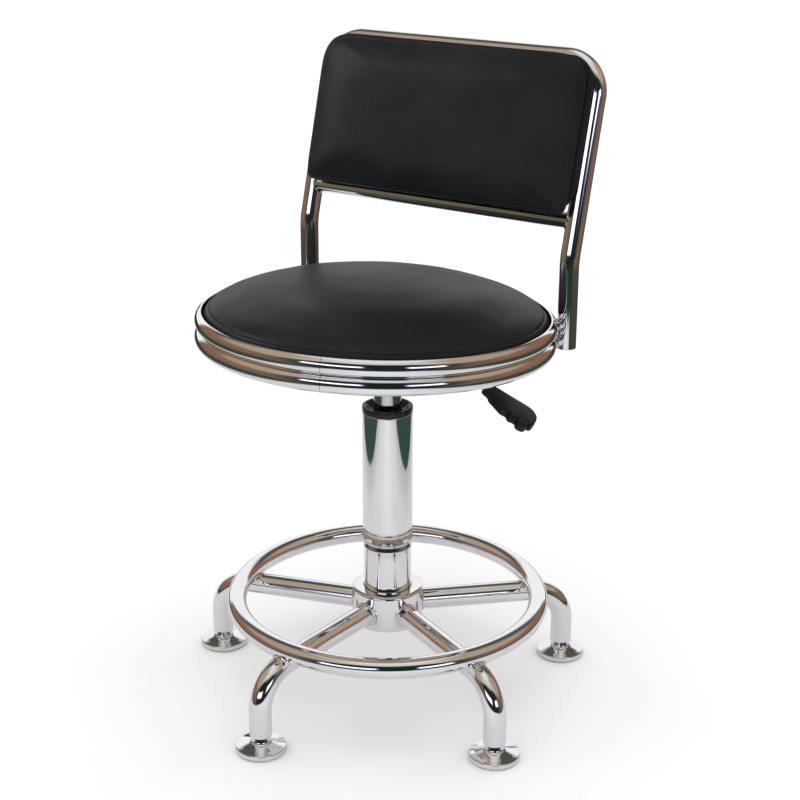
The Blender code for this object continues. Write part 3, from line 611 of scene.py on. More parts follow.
def ring_weld_loop(steps=48):
    """Where a leg's surface meets the foot ring that lies across it."""
    height = leg_line(RING_RADIUS)
    lowest = asin((RING_HEIGHT - RING_TUBE_RADIUS - height) / LEG_RADIUS)
    loop = []
    for side in (1, -1):
        for i in range(steps):
            angle = lowest + (pi - 2 * lowest) * (i + 0.5) / steps
            z = height + LEG_RADIUS * sin(angle)
            y = LEG_RADIUS * cos(angle)
            across = sqrt(max(RING_TUBE_RADIUS**2 - (z - RING_HEIGHT) ** 2, 1e-6))
            x = sqrt((RING_RADIUS + side * across) ** 2 - y**2)
            loop.append(Vector((x, y * side, z)))
    return loop


def leg_mesh():
    """A bent tube, notched for the foot ring and cut to the hub."""
    inner_end = HUB_RADIUS - 0.006
    corners = [
        (inner_end, 0.0, leg_line(inner_end)),
        (FOOT_REACH, 0.0, leg_line(FOOT_REACH)),
        (FOOT_REACH, 0.0, LEG_END_HEIGHT),
    ]
    path = bent_path(corners, [LEG_BEND_RADIUS], 40)
    edge = 0.0006
    path.insert(-1, path[-1] + UP * edge)
    radii = [LEG_RADIUS] * (len(path) - 1) + [LEG_RADIUS - edge]
    leg = tube(path, radii, LEG_BORE - edge, 48)
    saddle = tube(circle(RING_RADIUS, RING_HEIGHT, 48, -0.3, 0.6), RING_TUBE_RADIUS + 0.0001, sides=48)
    return cut(leg, saddle, sleeve(0.0, HUB_RADIUS - 0.0001, 0.05, 0.13))


def glide_mesh():
    """A foot disc that sweeps up into a neck, with the stud that screws into the leg."""
    pocket = PAD_RADIUS + 2 * CLEARANCE
    ceiling = PAD_THICKNESS + CLEARANCE
    neck_top = LEG_END_HEIGHT - CLEARANCE
    corners = [
        (0.0, ceiling, 0.0), (pocket, ceiling, 0.0), (pocket, 0.001, 0.0003),
        (GLIDE_RADIUS, 0.001, 0.0008), (GLIDE_RADIUS, 0.0056, 0.0014),
        (0.0192, 0.0069, 0.004), (0.0098, 0.01, 0.004), (0.0078, neck_top, 0.0004),
        (STUD_RADIUS, neck_top, 0.0), (STUD_RADIUS, STUD_TOP, 0.0008), (0.0, STUD_TOP, 0.0),
    ]
    return turned(corners, 8, 96)


def pad_mesh():
    """A moulded foot pad with a bevelled rim and two shallow rings under it."""
    recess = 0.0006
    soft = 0.0002
    corners = [(0.0, recess, 0.0)]
    for radius in (0.006, 0.012):
        corners += [(radius, recess, soft), (radius + 0.0004, 0.0, soft)]
        corners += [(radius + 0.0026, 0.0, soft), (radius + 0.003, recess, soft)]
    corners += [
        (0.017, recess, soft), (0.0174, 0.0, soft), (PAD_RADIUS, 0.0, 0.0005),
        (PAD_RADIUS, PAD_THICKNESS, 0.0004), (0.0, PAD_THICKNESS, 0.0),
    ]
    return turned(corners, 3, 64)


def build_base():
    """Hub, legs, foot ring, welds and the screwed glides."""
    hub = sleeve(HUB_BORE, HUB_RADIUS, HUB_BOTTOM, HUB_TOP, (0.0006, 0.002, 0.0042, 0.0006), 8)
    piece("base_hub", hub, "chrome", "base", "hub")

    # The ring's butt seam is a line that lies a little lower than the tube
    seam = FIRST_LEG_ANGLE + tau * 1.5 / LEG_COUNT
    radii = [RING_TUBE_RADIUS] * 360
    for i, depth in ((0, 0.00012), (1, 0.00004), (-1, 0.00004)):
        radii[i] -= depth
    ring = tube(circle(RING_RADIUS, RING_HEIGHT, 360, seam), radii, sides=48, closed=True)
    piece("foot_ring", ring, "chrome", "base", "footrest_ring")

    leg = leg_mesh()
    welds = joined([(bead(hub_weld_loop()), Matrix()), (bead(ring_weld_loop(), 0.0013), Matrix())])
    insert_low = LEG_END_HEIGHT + CLEARANCE
    rounding = (0.0003, 0.0004, 0.0004, 0.0003)
    insert = sleeve(STUD_RADIUS + CLEARANCE, LEG_BORE - 0.0008, insert_low, INSERT_TOP, rounding, steps=64)
    glide = glide_mesh()
    pad = pad_mesh()
    for i in range(LEG_COUNT):
        number = i + 1
        place = ON_AXIS @ spin(FIRST_LEG_ANGLE + tau * i / LEG_COUNT, "Z")
        foot = place @ at(FOOT_REACH, 0.0, 0.0)
        piece(f"base_leg_{number}", leg, "chrome", "base", f"leg_{number}", place=place)
        piece(f"base_welds_{number}", welds, "weld_chrome", "base", place=place)
        piece(f"threaded_insert_{number}", insert, "zinc_steel", "base", f"leg_insert_{number}", place=foot)
        screw_body = f"foot_screw_{number}"
        piece(f"foot_glide_{number}", glide, "chrome", screw_body, f"glide_{number}", place=foot)
        piece(f"foot_pad_{number}", pad, "nylon", f"foot_pad_{number}", f"glide_pad_{number}", place=foot)


# Gas lift

def build_lift():
    """Outer tube with its pressed waist, plastic collar, ground inner tube and the cone on it."""
    waist = COLUMN_WAIST_RADIUS
    column = turned([
        (COLUMN_BORE, COLUMN_BOTTOM, 0.0),
        (COLUMN_LOWER_RADIUS - CLEARANCE, COLUMN_BOTTOM, 0.0008),
        (COLUMN_LOWER_RADIUS - 0.0004, COLUMN_STEP, 0.004),
        (COLUMN_LOWER_RADIUS + 0.0003, COLUMN_STEP + 0.004, 0.004),
        (waist, COLUMN_STEP_TOP - 0.0028, 0.0006), (waist, COLUMN_STEP_TOP - 0.0018, 0.0002),
        (COLUMN_RADIUS, COLUMN_STEP_TOP - 0.0016, 0.0011),
        (COLUMN_RADIUS, COLUMN_TOP, 0.0022), (COLUMN_BORE, COLUMN_TOP, 0.0004),
    ], 10)
    piece("lift_column", column, "chrome", "base", "column_tube")

    bore = TUBE_RADIUS + CLEARANCE
    wall = COLUMN_BORE - CLEARANCE
    collar_low = COLUMN_TOP + CLEARANCE
    collar = turned([
        (bore, BUSHING_BOTTOM, 0.0005), (wall, BUSHING_BOTTOM, 0.0008), (wall, collar_low, 0.0),
        (COLUMN_RADIUS, collar_low, 0.0006), (COLUMN_RADIUS + 0.0002, BUSHING_TOP, 0.0014),
        (COLUMN_RADIUS - 0.003, BUSHING_TOP, 0.0012), (bore + 0.0035, BUSHING_TOP - 0.0048, 0.003),
        (bore, BUSHING_TOP - 0.004, 0.0006),
    ], 8)
    piece("lift_collar", collar, "collar_plastic", "base", "guide_bushing")

    inner = turned([
        (TUBE_BORE, TUBE_BOTTOM, 0.0004), (TUBE_RADIUS, TUBE_BOTTOM, 0.0008),
        (TUBE_RADIUS, TAPER_START, 0.0004), (TUBE_TIP_RADIUS, TUBE_TOP, 0.0008),
        (VALVE_BORE, TUBE_TOP, 0.0004), (VALVE_BORE, VALVE_BOTTOM, 0.0), (TUBE_BORE, VALVE_BOTTOM, 0.001),
    ])
    piece("lift_inner_tube", inner, "ground_steel", "seat", "pressure_tube")

    socket = turned([
        (bore, SOCKET_BOTTOM, 0.0006), (SOCKET_RADIUS, SOCKET_BOTTOM, 0.0012),
        (SOCKET_RADIUS, SOCKET_TOP, 0.0008), (TUBE_TIP_RADIUS + 2 * CLEARANCE, SOCKET_TOP, 0.0004),
    ])
    piece("seat_socket", socket, "zinc_steel", "seat", "taper_socket")

    hidden = {
        "zinc_steel": ("column_base_plate", "lower_race", "upper_race", "ball_cage", "retaining_clip"),
        "ground_steel": ("piston_rod", "release_button"),
        "black_plastic": ("piston", "rod_guide"),
        "rubber": ("bump_stop",),
    }
    for finish, names in hidden.items():
        for name in names:
            frame["nodes"][name].data.materials[0] = FINISHES[finish]


# Seat

def screw_mesh(radius, head_radius, head_height, length):
    """A domed screw with a cross recess. It points up, with the underside of its head at z = 0."""
    screw = turned([
        (0.0, -head_height, 0.0), (head_radius * 0.62, -head_height, head_height),
        (head_radius, -head_height * 0.35, head_height * 0.5), (head_radius, 0.0, 0.0003),
        (radius, 0.0, 0.0), (radius, length - radius * 0.6, 0.0),
        (radius * 0.5, length, 0.0), (0.0, length, 0.0),
    ], 6, 32)
    reach = head_radius * 0.55
    wide = head_radius * 0.15
    bars = []
    for x, y in ((reach, wide), (wide, reach)):
        ends = ((-head_height - 0.001, 1.0), (-head_height * 0.4, 0.6))
        bars.append(loft([[(x * a * scale, y * b * scale, z) for a, b in SQUARE] for z, scale in ends]))
    return cut(screw, *bars)


def folded_sheet(line, thickness, half_length):
    """A bent sheet along X. The line (y, z, bend radius) is one face of it, on its left as it runs."""
    face = rounded(line, 6)
    other = []
    for i, point in enumerate(face):
        before = Vector(face[max(i - 1, 0)])
        after = Vector(face[min(i + 1, len(face) - 1)])
        heading = (after - before).normalized()
        other.append(Vector(point) + Vector((heading.y, -heading.x)) * thickness)
    section = [*face, *reversed(other)]
    return loft([[(x, y, z) for y, z in section] for x in (-half_length, half_length)])


def bracket_mesh():
    """The folded channel under the seat, with holes for its screws, the socket and the lever's pin."""
    fold = 0.0025
    side = CHANNEL_HALF_WIDTH - BRACKET_SHEET
    bottom = CHANNEL_FLOOR + BRACKET_SHEET
    line = [
        (-BRACKET_HALF_WIDTH, BRACKET_TOP, 0.0), (-side, BRACKET_TOP, fold), (-side, bottom, fold),
        (side, bottom, fold), (side, BRACKET_TOP, fold), (BRACKET_HALF_WIDTH, BRACKET_TOP, 0.0),
    ]
    opening = sleeve(0.0, SOCKET_RADIUS + 0.0004, 0.33, 0.37)
    opening.transform(SEAT.inverted() @ ON_AXIS)
    pin_hole = sleeve(0.0, PIN_RADIUS + CLEARANCE, -0.04, 0.04, steps=32)
    pin_hole.transform(Matrix.Translation(LEVER_PIVOT) @ SIDEWAYS)
    tools = [opening, pin_hole]
    for x, y in BRACKET_SCREWS:
        hole = sleeve(0.0, SCREW_RADIUS + CLEARANCE, -0.03, 0.0, steps=24)
        hole.transform(at(x, y, 0.0))
        tools.append(hole)
    return cut(folded_sheet(line, BRACKET_SHEET, BRACKET_LENGTH / 2), *tools)


def build_bracket():
    """The folded bracket with its four screws, and the weld round its socket."""
    piece("seat_bracket_sheet", bracket_mesh(), "zinc_steel", "seat", "seat_bracket", place=SEAT)
    head_seat = BRACKET_TOP - BRACKET_SHEET - CLEARANCE
    screw = screw_mesh(SCREW_RADIUS, SCREW_HEAD_RADIUS, SCREW_HEAD_HEIGHT, SCREW_HOLE_TOP - head_seat)
    for number, (x, y) in enumerate(BRACKET_SCREWS, start=1):
        place = SEAT @ at(x, y, head_seat) @ spin(0.7 * number, "Z")
        piece(f"seat_screw_{number}", screw, "zinc_steel", "seat", f"bracket_screw_{number}", place=place)
    loop = [SEAT.inverted() @ ON_AXIS @ point for point in circle(SOCKET_RADIUS, SOCKET_TOP - 0.0009, 90)]
    piece("socket_weld", bead(loop, 0.0015), "zinc_steel", "seat", place=SEAT)


def bead_arc(low, high, steps=16):
    """Points of one bulge of the rim, from its lower height to its upper one, without the first."""
    half = (high - low) / 2
    arc_radius = (half**2 + RIM_BEAD_DEPTH**2) / (2 * RIM_BEAD_DEPTH)
    half_angle = asin(half / arc_radius)
    points = []
    for i in range(1, steps + 1):
        angle = half_angle * (2 * i / steps - 1)
        inward = arc_radius * (1 - cos(angle))
        points.append((RIM_RADIUS - inward, (low + high) / 2 + arc_radius * sin(angle)))
    return points


def build_rim():
    """The rolled rim with two beads, its butt seam, and the wall and lip inside it."""
    groove = RIM_RADIUS - RIM_BEAD_DEPTH
    section = [(RIM_LIP_RADIUS, -RIM_HALF_HEIGHT), (groove, -RIM_HALF_HEIGHT)]
    section += bead_arc(-RIM_HALF_HEIGHT, 0.0)
    section += bead_arc(0.0, RIM_HALF_HEIGHT)
    inside = [
        (groove, RIM_HALF_HEIGHT, 0.0), (RIM_WALL_RADIUS, RIM_HALF_HEIGHT, 0.0006),
        (RIM_WALL_RADIUS, RIM_LIP_TOP, 0.0012), (RIM_LIP_RADIUS, RIM_LIP_TOP, 0.0006),
        (RIM_LIP_RADIUS, -RIM_HALF_HEIGHT, 0.0),
    ]
    section += rounded(inside, 5)[1:-1]
    gap = RIM_SEAM_WIDTH / RIM_RADIUS
    rim = lathe(section, 288, RIM_SEAM_ANGLE + gap / 2, tau - gap)
    piece("seat_rim_band", rim, "chrome", "seat", "seat_rim", place=SEAT_ROUND)


def build_board():
    """Plywood board with the cover's edge pulled under it and stapled down."""
    board = sleeve(0.0, BOARD_RADIUS, BOARD_BOTTOM, BOARD_TOP, (0.0, 0.001, 0.001, 0.0))
    piece("seat_plywood", board, "plywood", "seat", "seat_board", place=SEAT_ROUND)

    steps = 360
    rings = [[], [], [], [], []]
    for i in range(steps):
        angle = tau * i / steps
        pleat = noise.noise(polar(14.0, angle))
        inner = HEM_INNER + 0.0012 * pleat + 0.0006 * sin(30 * angle)
        fold = 0.0005 * max(0.0, sin(60 * angle + 2.0 * pleat))
        levels = (
            (inner, 0.0008), (HEM_STAPLED, 0.0008 + fold),
            (HEM_OUTER, 0.0009), (HEM_OUTER, 0.0001), (inner, 0.0001),
        )
        for ring, (radius, drop) in zip(rings, levels):
            ring.append(polar(radius, angle, BOARD_BOTTOM - drop))
    piece("seat_cover_hem", loft(rings, True), "black_vinyl", "seat", place=SEAT_ROUND)

    crown = STAPLE_HALF_WIDTH
    corners = [(-crown, 0.0, 0.0012), (-crown, 0.0, -0.0004), (crown, 0.0, -0.0004), (crown, 0.0, 0.0012)]
    staple = tube(bent_path(corners, [0.0004, 0.0004], 3), STAPLE_WIRE, sides=8)
    lift = at(HEM_STAPLED - 0.0005, 0.0, BOARD_BOTTOM - 0.0011)
    staples = []
    for i in range(STAPLE_COUNT):
        around = spin(tau * (i + 0.5) / STAPLE_COUNT, "Z")
        lean = 0.25 * noise.noise(Vector((i * 1.7, 0.0, 0.0)))
        staples.append((staple, around @ lift @ spin(pi / 2 + lean, "Z")))
    piece("seat_staples", joined(staples), "zinc_steel", "seat", place=SEAT_ROUND)


def swelled(mesh, held_below, pressure, cap):
    """A cover blown up by a short cloth simulation, as a tree of faces to measure it by."""
    scene = bpy.context.scene
    cover = bpy.data.objects.new("cover", mesh)
    scene.collection.objects.link(cover)
    remesh = cover.modifiers.new("remesh", "REMESH")
    remesh.mode = "VOXEL"
    remesh.voxel_size = 0.005
    bpy.context.view_layer.update()
    cover.data = applied(cover)
    cover.modifiers.clear()
    start = [v.co.copy() for v in cover.data.vertices]
    group = cover.vertex_groups.new(name="held")
    group.add([v.index for v in cover.data.vertices if v.co.z < held_below], 1.0, "REPLACE")
    cloth = cover.modifiers.new("cloth", "CLOTH")
    cloth.settings.vertex_group_mass = "held"
    cloth.settings.use_pressure = True
    cloth.settings.uniform_pressure_force = pressure
    cloth.settings.effector_weights.gravity = 0.0
    cloth.point_cache.frame_end = CLOTH_FRAMES
    for step in range(1, CLOTH_FRAMES + 1):
        scene.frame_set(step)
    cover.data = applied(cover)
    cover.modifiers.clear()
    scene.frame_set(1)
    for vertex, rest in zip(cover.data.vertices, start):
        moved = vertex.co - rest
        if moved.length > cap:
            vertex.co = rest + moved * (cap / moved.length)
    cover.modifiers.new("smooth", "SUBSURF").levels = 1
    bpy.context.view_layer.update()
    surface = applied(cover)
    tree = BVHTree.FromPolygons(
        [v.co for v in surface.vertices], [tuple(p.vertices) for p in surface.polygons]
    )
    bpy.data.objects.remove(cover)
    return tree


def panel_outline(width, height, upper_radius, lower_radius, spacing=0.003):
    """Points round a rounded rectangle, each with its outward direction."""
    outline = []
    radii = (upper_radius, upper_radius, lower_radius, lower_radius)
    steps = 14
    for turn, (sign_x, sign_y) in enumerate(SQUARE):
        radius = radii[turn]
        centre = Vector((sign_x * (width / 2 - radius), sign_y * (height / 2 - radius), 0.0))
        for i in range(steps + 1):
            outward = polar(1.0, pi / 2 * (turn + i / steps))
            outline.append((centre + outward * radius, outward))
        length = (height if turn % 2 else width) - radius - radii[(turn + 1) % 4]
        along = Vector((-outward.y, outward.x, 0.0))
        corner = outline[-1][0]
        straight = round(length / spacing)
        for i in range(1, straight):
            outline.append((corner + along * length * i / straight, outward))
    return outline


def closed_loft(rings):
    """Rings of points joined one after the other, and each end ring to its own middle."""
    low, high = ([sum(ring, Vector()) / len(ring)] * len(ring) for ring in (rings[0], rings[-1]))
    return loft([low, *rings, high], sharp=radians(60.0))


def smoothed(rows, passes):
    """Rings of points, each evened out with its neighbours. The last ring stays."""
    for _ in range(passes):
        fresh = []
        for k, row in enumerate(rows[:-1]):
            inner = rows[max(k - 1, 0)]
            outer = rows[k + 1]
            count = len(row)
            fresh.append(
                [
                    row[i] * 0.5 + (row[i - 1] + row[(i + 1) % count] + inner[i] + outer[i]) * 0.125
                    for i in range(count)
                ]
            )
        rows = fresh + [rows[-1]]
    return rows


def pad_rows(outline, core_inset, core_height, tree, last_angle, passes, flat_steps=30, edge_steps=72):
    """Rings over a swelled cover: across its crown, then round its edge in a fan from a core line."""
    rays = [(k / flat_steps, pi / 2) for k in range(1, flat_steps)]
    rays += [(1.0, pi / 2 + (last_angle - pi / 2) * k / edge_steps) for k in range(edge_steps + 1)]
    rows = []
    for scale, angle in rays:
        row = []
        for point, outward in outline:
            origin = (point - outward * core_inset) * scale
            origin.z = core_height
            toward = outward * cos(angle) + UP * sin(angle)
            row.append(tree.ray_cast(origin, toward)[0])
        rows.append(row)
    return smoothed(rows, passes)


def evened(rows, share):
    """The rings of a round cushion, drawn by a share toward the true circle each one averages to."""
    made = []
    for row in rows:
        radius = sum(hypot(p.x, p.y) for p in row) / len(row)
        height = sum(p.z for p in row) / len(row)
        made.append([point.lerp(true, share) for point, true in zip(row, circle(radius, height, len(row)))])
    return made


def sewn(rows, seam_row, depth, width, pucker):
    """The rings with a seam pressed in along one of them, and the small puckers beside it."""
    made = [list(row) for row in rows]
    for i in range(len(rows[0])):
        seam = rows[seam_row][i]
        along = (rows[seam_row][i - 1] - rows[seam_row][(i + 1) % len(rows[0])]).normalized()
        slope = (rows[seam_row + 2][i] - rows[seam_row - 2][i]).normalized()
        inward = along.cross(slope).normalized()
        if inward.z > 0.0:
            inward = -inward
        for k in range(max(seam_row - 16, 1), min(seam_row + 16, len(rows) - 1)):
            away = (rows[k][i] - seam).length
            fold = depth * exp(-((away / width) ** 2))
            wrinkle = noise.noise(seam * 85.0) * pucker * exp(-((away / (5 * width)) ** 2))
            made[k][i] = rows[k][i] + inward * (fold + wrinkle)
    return made


def ball(segments, rings):
    """A sphere of radius 1, smooth all over."""
    bm = bmesh.new()
    bmesh.ops.create_uvsphere(bm, u_segments=segments, v_segments=rings, radius=1.0)
    return finish_mesh(bm, pi)


def stitch_mesh(line, pitch=0.0042, length=0.0029, radius=0.00042):
    """Separate stitches of thread at even spacing along a closed line."""
    stitch = ball(8, 6)
    shape = Matrix.Diagonal((length / 2, radius, radius, 1.0))
    stitches = []
    run = 0.0
    goal = pitch / 2
    for i in range(len(line)):
        start, end = line[i - 1], line[i]
        step = (end - start).length
        heading = (end - start).to_track_quat("X", "Z").to_matrix().to_4x4()
        while goal <= run + step:
            middle = start.lerp(end, (goal - run) / step)
            stitches.append((stitch, at(*middle) @ heading @ shape))
            goal += pitch
        run += step
    return joined(stitches)


def build_cushion(side, rows, tuck, bottom, place):
    """The seat's or the back's cushion, sewn and closed underneath, and the stitches of its seam."""
    widest = max(row[0].x for row in rows)
    seam = next(k for k, row in enumerate(rows) if row[0].x > widest - SEAM_INSET)
    rows = sewn(rows, seam, SEAM_DEPTH, SEAM_WIDTH, SEAM_PUCKER)
    stitches = stitch_mesh(rows[seam - 3])
    rows.append([Vector((p.x * tuck, p.y * tuck, bottom)) for p in rows[-1]])
    rows.append([Vector((p.x * 0.5, p.y * 0.5, bottom)) for p in rows[-1]])
    piece(f"{side}_pad", closed_loft(rows), "black_vinyl", "seat", f"{side}_cushion", place=place)
    piece(f"{side}_stitches", stitches, "thread", "seat", place=place)


def build_seat_cushion():
    """Crowned round cushion whose top is sewn to its side a little inside the edge."""
    start = [
        (0.0, -0.0016), (0.165, -0.0016), (0.1654, 0.013), (0.1658, 0.0162), (0.1648, 0.0182),
        (0.1625, 0.0196), (0.1602, 0.0232), (0.1565, 0.0274), (0.15, 0.0308), (0.142, 0.0332),
        (0.125, 0.0362), (0.09, 0.0398), (0.045, 0.042), (0.0, 0.0425),
    ]
    tree = swelled(lathe(start, 96), 0.019, 3.0, 0.0032)
    outline = [(outward * CUSHION_RADIUS, outward) for outward in circle(1.0, 0.0, 360)]
    rows = evened(pad_rows(outline, 0.03, 0.008, tree, radians(-17.0), 12), 0.8)
    build_cushion("seat", rows, 0.98, BOARD_TOP + CLEARANCE, SEAT_ROUND)


# Height lever

def paddle_outline():
    """The paddle from above: a straight far edge, a round tip, and finger scallops on the near edge."""
    corners = [
        (39.0, 5.5), (46.0, 8.4), (54.0, 10.4), (67.0, 13.8), (78.0, 16.8), (84.5, 17.2),
        (90.5, 14.8), (95.0, 10.0), (97.8, 3.0), (99.6, -4.6), (98.8, -8.2), (96.4, -9.0),
        (97.6, -13.2), (96.6, -17.0), (92.6, -19.6), (89.0, -19.0), (86.4, -15.7),
        (83.8, -15.2), (81.6, -17.6), (78.2, -17.4), (74.6, -14.7), (71.0, -16.0),
        (67.0, -16.2), (58.0, -13.4), (51.0, -11.2), (48.6, -8.4), (45.6, -7.6), (39.0, -5.5),
    ]
    points = [Vector(corner) / 1000.0 for corner in corners]
    count = len(points)
    outline = []
    for i in range(count):
        a, b, c, d = (points[(i + k - 1) % count] for k in range(4))
        for k in range(5):
            t = k / 5
            straight = b * 2 + (c - a) * t
            bend = (a * 2 - b * 5 + c * 4 - d) * t**2 + (b * 3 - a - c * 3 + d) * t**3
            outline.append((straight + bend) / 2)
    return outline


def paddle_mesh():
    """A moulded paddle with rounded edges, bored for its rod."""
    outline = paddle_outline()
    layers = []
    for inset, height in (
        (2.6, -4.5), (1.3, -4.3), (0.4, -3.6), (0.05, -2.6), (0.0, -1.0),
        (0.0, 1.8), (0.1, 2.8), (0.5, 3.7), (1.3, 4.3), (2.6, 4.5),
    ):
        layer = []
        for i, point in enumerate(outline):
            along = outline[(i + 1) % len(outline)] - outline[i - 1]
            outward = Vector((along.y, -along.x)).normalized()
            moved = point + outward * inset / 1000.0
            layer.append((moved.x, moved.y, height / 1000.0))
        layers.append(layer)
    bore = sleeve(0.0, LEVER_ROD_RADIUS + 0.0002, 0.03, 0.079, steps=32)
    bore.transform(spin(pi / 2, "Y"))
    return cut(loft(layers, sharp=radians(50.0)), bore)


def build_lever():
    """The bent rod on its pivot tube, the pin through it, and the paddle."""
    elbow = LEVER_ELBOW - LEVER_PIVOT
    outward = Vector((cos(LEVER_SLOPE), 0.0, -sin(LEVER_SLOPE)))
    inner_end = (-LEVER_PIVOT.x - 0.003, 0.0, 0.0011)
    path = bent_path([inner_end, (0.0, 0.0, 0.0), elbow, elbow + outward * 0.077], [0.03, 0.02], 12)
    half = LEVER_BOSS_HALF_LENGTH
    boss = sleeve(0.0, LEVER_BOSS_RADIUS, -half, half, (0.0, 0.0006, 0.0006, 0.0), steps=48)
    boss.transform(SIDEWAYS)
    hole = sleeve(0.0, PIN_RADIUS + CLEARANCE, -half - 0.01, half + 0.01, steps=32)
    hole.transform(SIDEWAYS)
    rod = cut(cut(tube(path, LEVER_ROD_RADIUS, sides=24), boss, operation="UNION"), hole)
    piece("lever_arm", rod, "zinc_steel", "lever", "lever_rod", place=LEVER)

    outside = CHANNEL_HALF_WIDTH + CLEARANCE
    end = outside + 0.0015
    pin = turned([
        (0.0, -end, 0.0), (0.005, -end, 0.0008), (0.005, -outside, 0.0003),
        (PIN_RADIUS, -outside, 0.0), (PIN_RADIUS, end, 0.0006), (0.0, end, 0.0),
    ], steps=48)
    piece("lever_pivot_pin", pin, "zinc_steel", "seat", "lever_pin", place=LEVER @ SIDEWAYS)

    place = LEVER @ Matrix.Translation(elbow) @ spin(LEVER_SLOPE, "Y")
    piece("lever_grip", paddle_mesh(), "black_plastic", "lever", "lever_paddle", place=place)


# Back

def build_back_frame():
    """The bent tube that carries the back, the bar across it, and their welds."""
    lean_back = sin(BACK_LEAN) * TOP_BAR_ALONG
    top_height = KNEE_HEIGHT + cos(BACK_LEAN) * TOP_BAR_ALONG
    right_side = [
        (FRAME_HALF_WIDTH, FRAME_BACK, FRAME_BOTTOM),
        (FRAME_HALF_WIDTH, FRAME_BACK, KNEE_HEIGHT),
        (FRAME_HALF_WIDTH, FRAME_BACK + lean_back, top_height),
    ]
    left_side = [(-x, y, z) for x, y, z in reversed(right_side)]
    path = bent_path(right_side + left_side, [KNEE_RADIUS, CORNER_RADIUS, CORNER_RADIUS, KNEE_RADIUS], 30)
    edge = 0.0005
    path.insert(1, path[0] + UP * edge)
    path.insert(-1, path[-1] + UP * edge)
    radii = [FRAME_RADIUS - edge] + [FRAME_RADIUS] * (len(path) - 2) + [FRAME_RADIUS - edge]
    piece("back_tube", tube(path, radii, FRAME_BORE, 48), "chrome", "seat", "back_frame")

    reach = FRAME_HALF_WIDTH - FRAME_RADIUS * 0.6
    path = [Vector((x * reach, 0.0, CROSSBAR_ALONG)) for x in (-1, -0.5, 0, 0.5, 1)]
    bar = tube(path, CROSSBAR_RADIUS, sides=48)
    piece("back_bar", bar, "chrome", "seat", "back_crossbar", place=BACK)

    beads = []
    for side in (-1, 1):
        loop = []
        for edge in circle(CROSSBAR_RADIUS, 0.0, 80):
            x = FRAME_HALF_WIDTH - sqrt(FRAME_RADIUS**2 - edge.x**2)
            loop.append(Vector((side * x, edge.x, CROSSBAR_ALONG + edge.y)))
        beads.append((bead(loop, 0.0015), BACK))
    piece("back_weld_beads", joined(beads + rim_welds()), "weld_chrome", "seat", place=Matrix())


def rim_welds():
    """The lumps of weld that tie each upright to both beads of the rim, down both sides of the upright."""
    made = []
    rim_centre = SEAT_ROUND.translation
    for side in (-1, 1):
        upright = ON_AXIS @ Vector((side * FRAME_HALF_WIDTH, FRAME_BACK, 0.0))
        toward = Vector((rim_centre.x - upright.x, rim_centre.y - upright.y, 0.0)).normalized()
        across = Vector((-toward.y, toward.x, 0.0))
        touch = upright + toward * (FRAME_RADIUS + 0.0002)
        drop = tan(SEAT_PITCH) * (upright.y - rim_centre.y)
        for level in (-RIM_HALF_HEIGHT / 2, RIM_HALF_HEIGHT / 2):
            for shift in (-0.0034, 0.0034):
                centre = touch + across * shift + UP * (SEAT_HEIGHT - drop + level)
                lump = ball(24, 16)
                for vertex in lump.vertices:
                    vertex.co *= 1.0 + 0.12 * noise.noise(vertex.co * 2.3 + centre * 90.0)
                made.append((lump, at(*centre) @ Matrix.Diagonal((0.0024, 0.0026, 0.0058, 1.0))))
    return made


def build_back_panel():
    """Cushion and covered rear of the backrest."""
    place = BACK @ at(0.0, 0.0, (PANEL_LOW + PANEL_HIGH) / 2) @ SIDEWAYS
    height = PANEL_HIGH - PANEL_LOW
    pad_height = height + PAD_OVER + PAD_UNDER
    middle = Vector((0.0, (PAD_OVER - PAD_UNDER) / 2, 0.0))
    outline = [
        (point + middle, outward)
        for point, outward in panel_outline(PANEL_WIDTH, pad_height, PANEL_CORNER, PAD_LOWER_CORNER)
    ]
    start = []
    for drawn_in, z in (
        (0.0022, 0.0163), (0.0008, 0.0168), (0.0004, 0.0176), (0.0014, 0.0187),
        (0.0035, 0.0197), (0.0055, 0.0222), (0.009, 0.0256), (0.014, 0.029),
        (0.02, 0.0312), (0.03, 0.0328),
    ):
        across = 1.0 - drawn_in / (PANEL_WIDTH / 2)
        up = 1.0 - drawn_in / (pad_height / 2)
        start.append([(p.x * across, middle.y + (p.y - middle.y) * up, z) for p, outward in outline])
    tree = swelled(loft(start), 0.0196, 4.0, 0.0025)
    rows = pad_rows(outline, 0.0112, 0.0178, tree, radians(-5.0), 24, 34, 56)
    build_cushion("back", rows, 0.985, PANEL_BOARD_FRONT + CLEARANCE, place)
    build_rear_cover(panel_outline(PANEL_WIDTH, height, PANEL_CORNER, PANEL_CORNER), place)


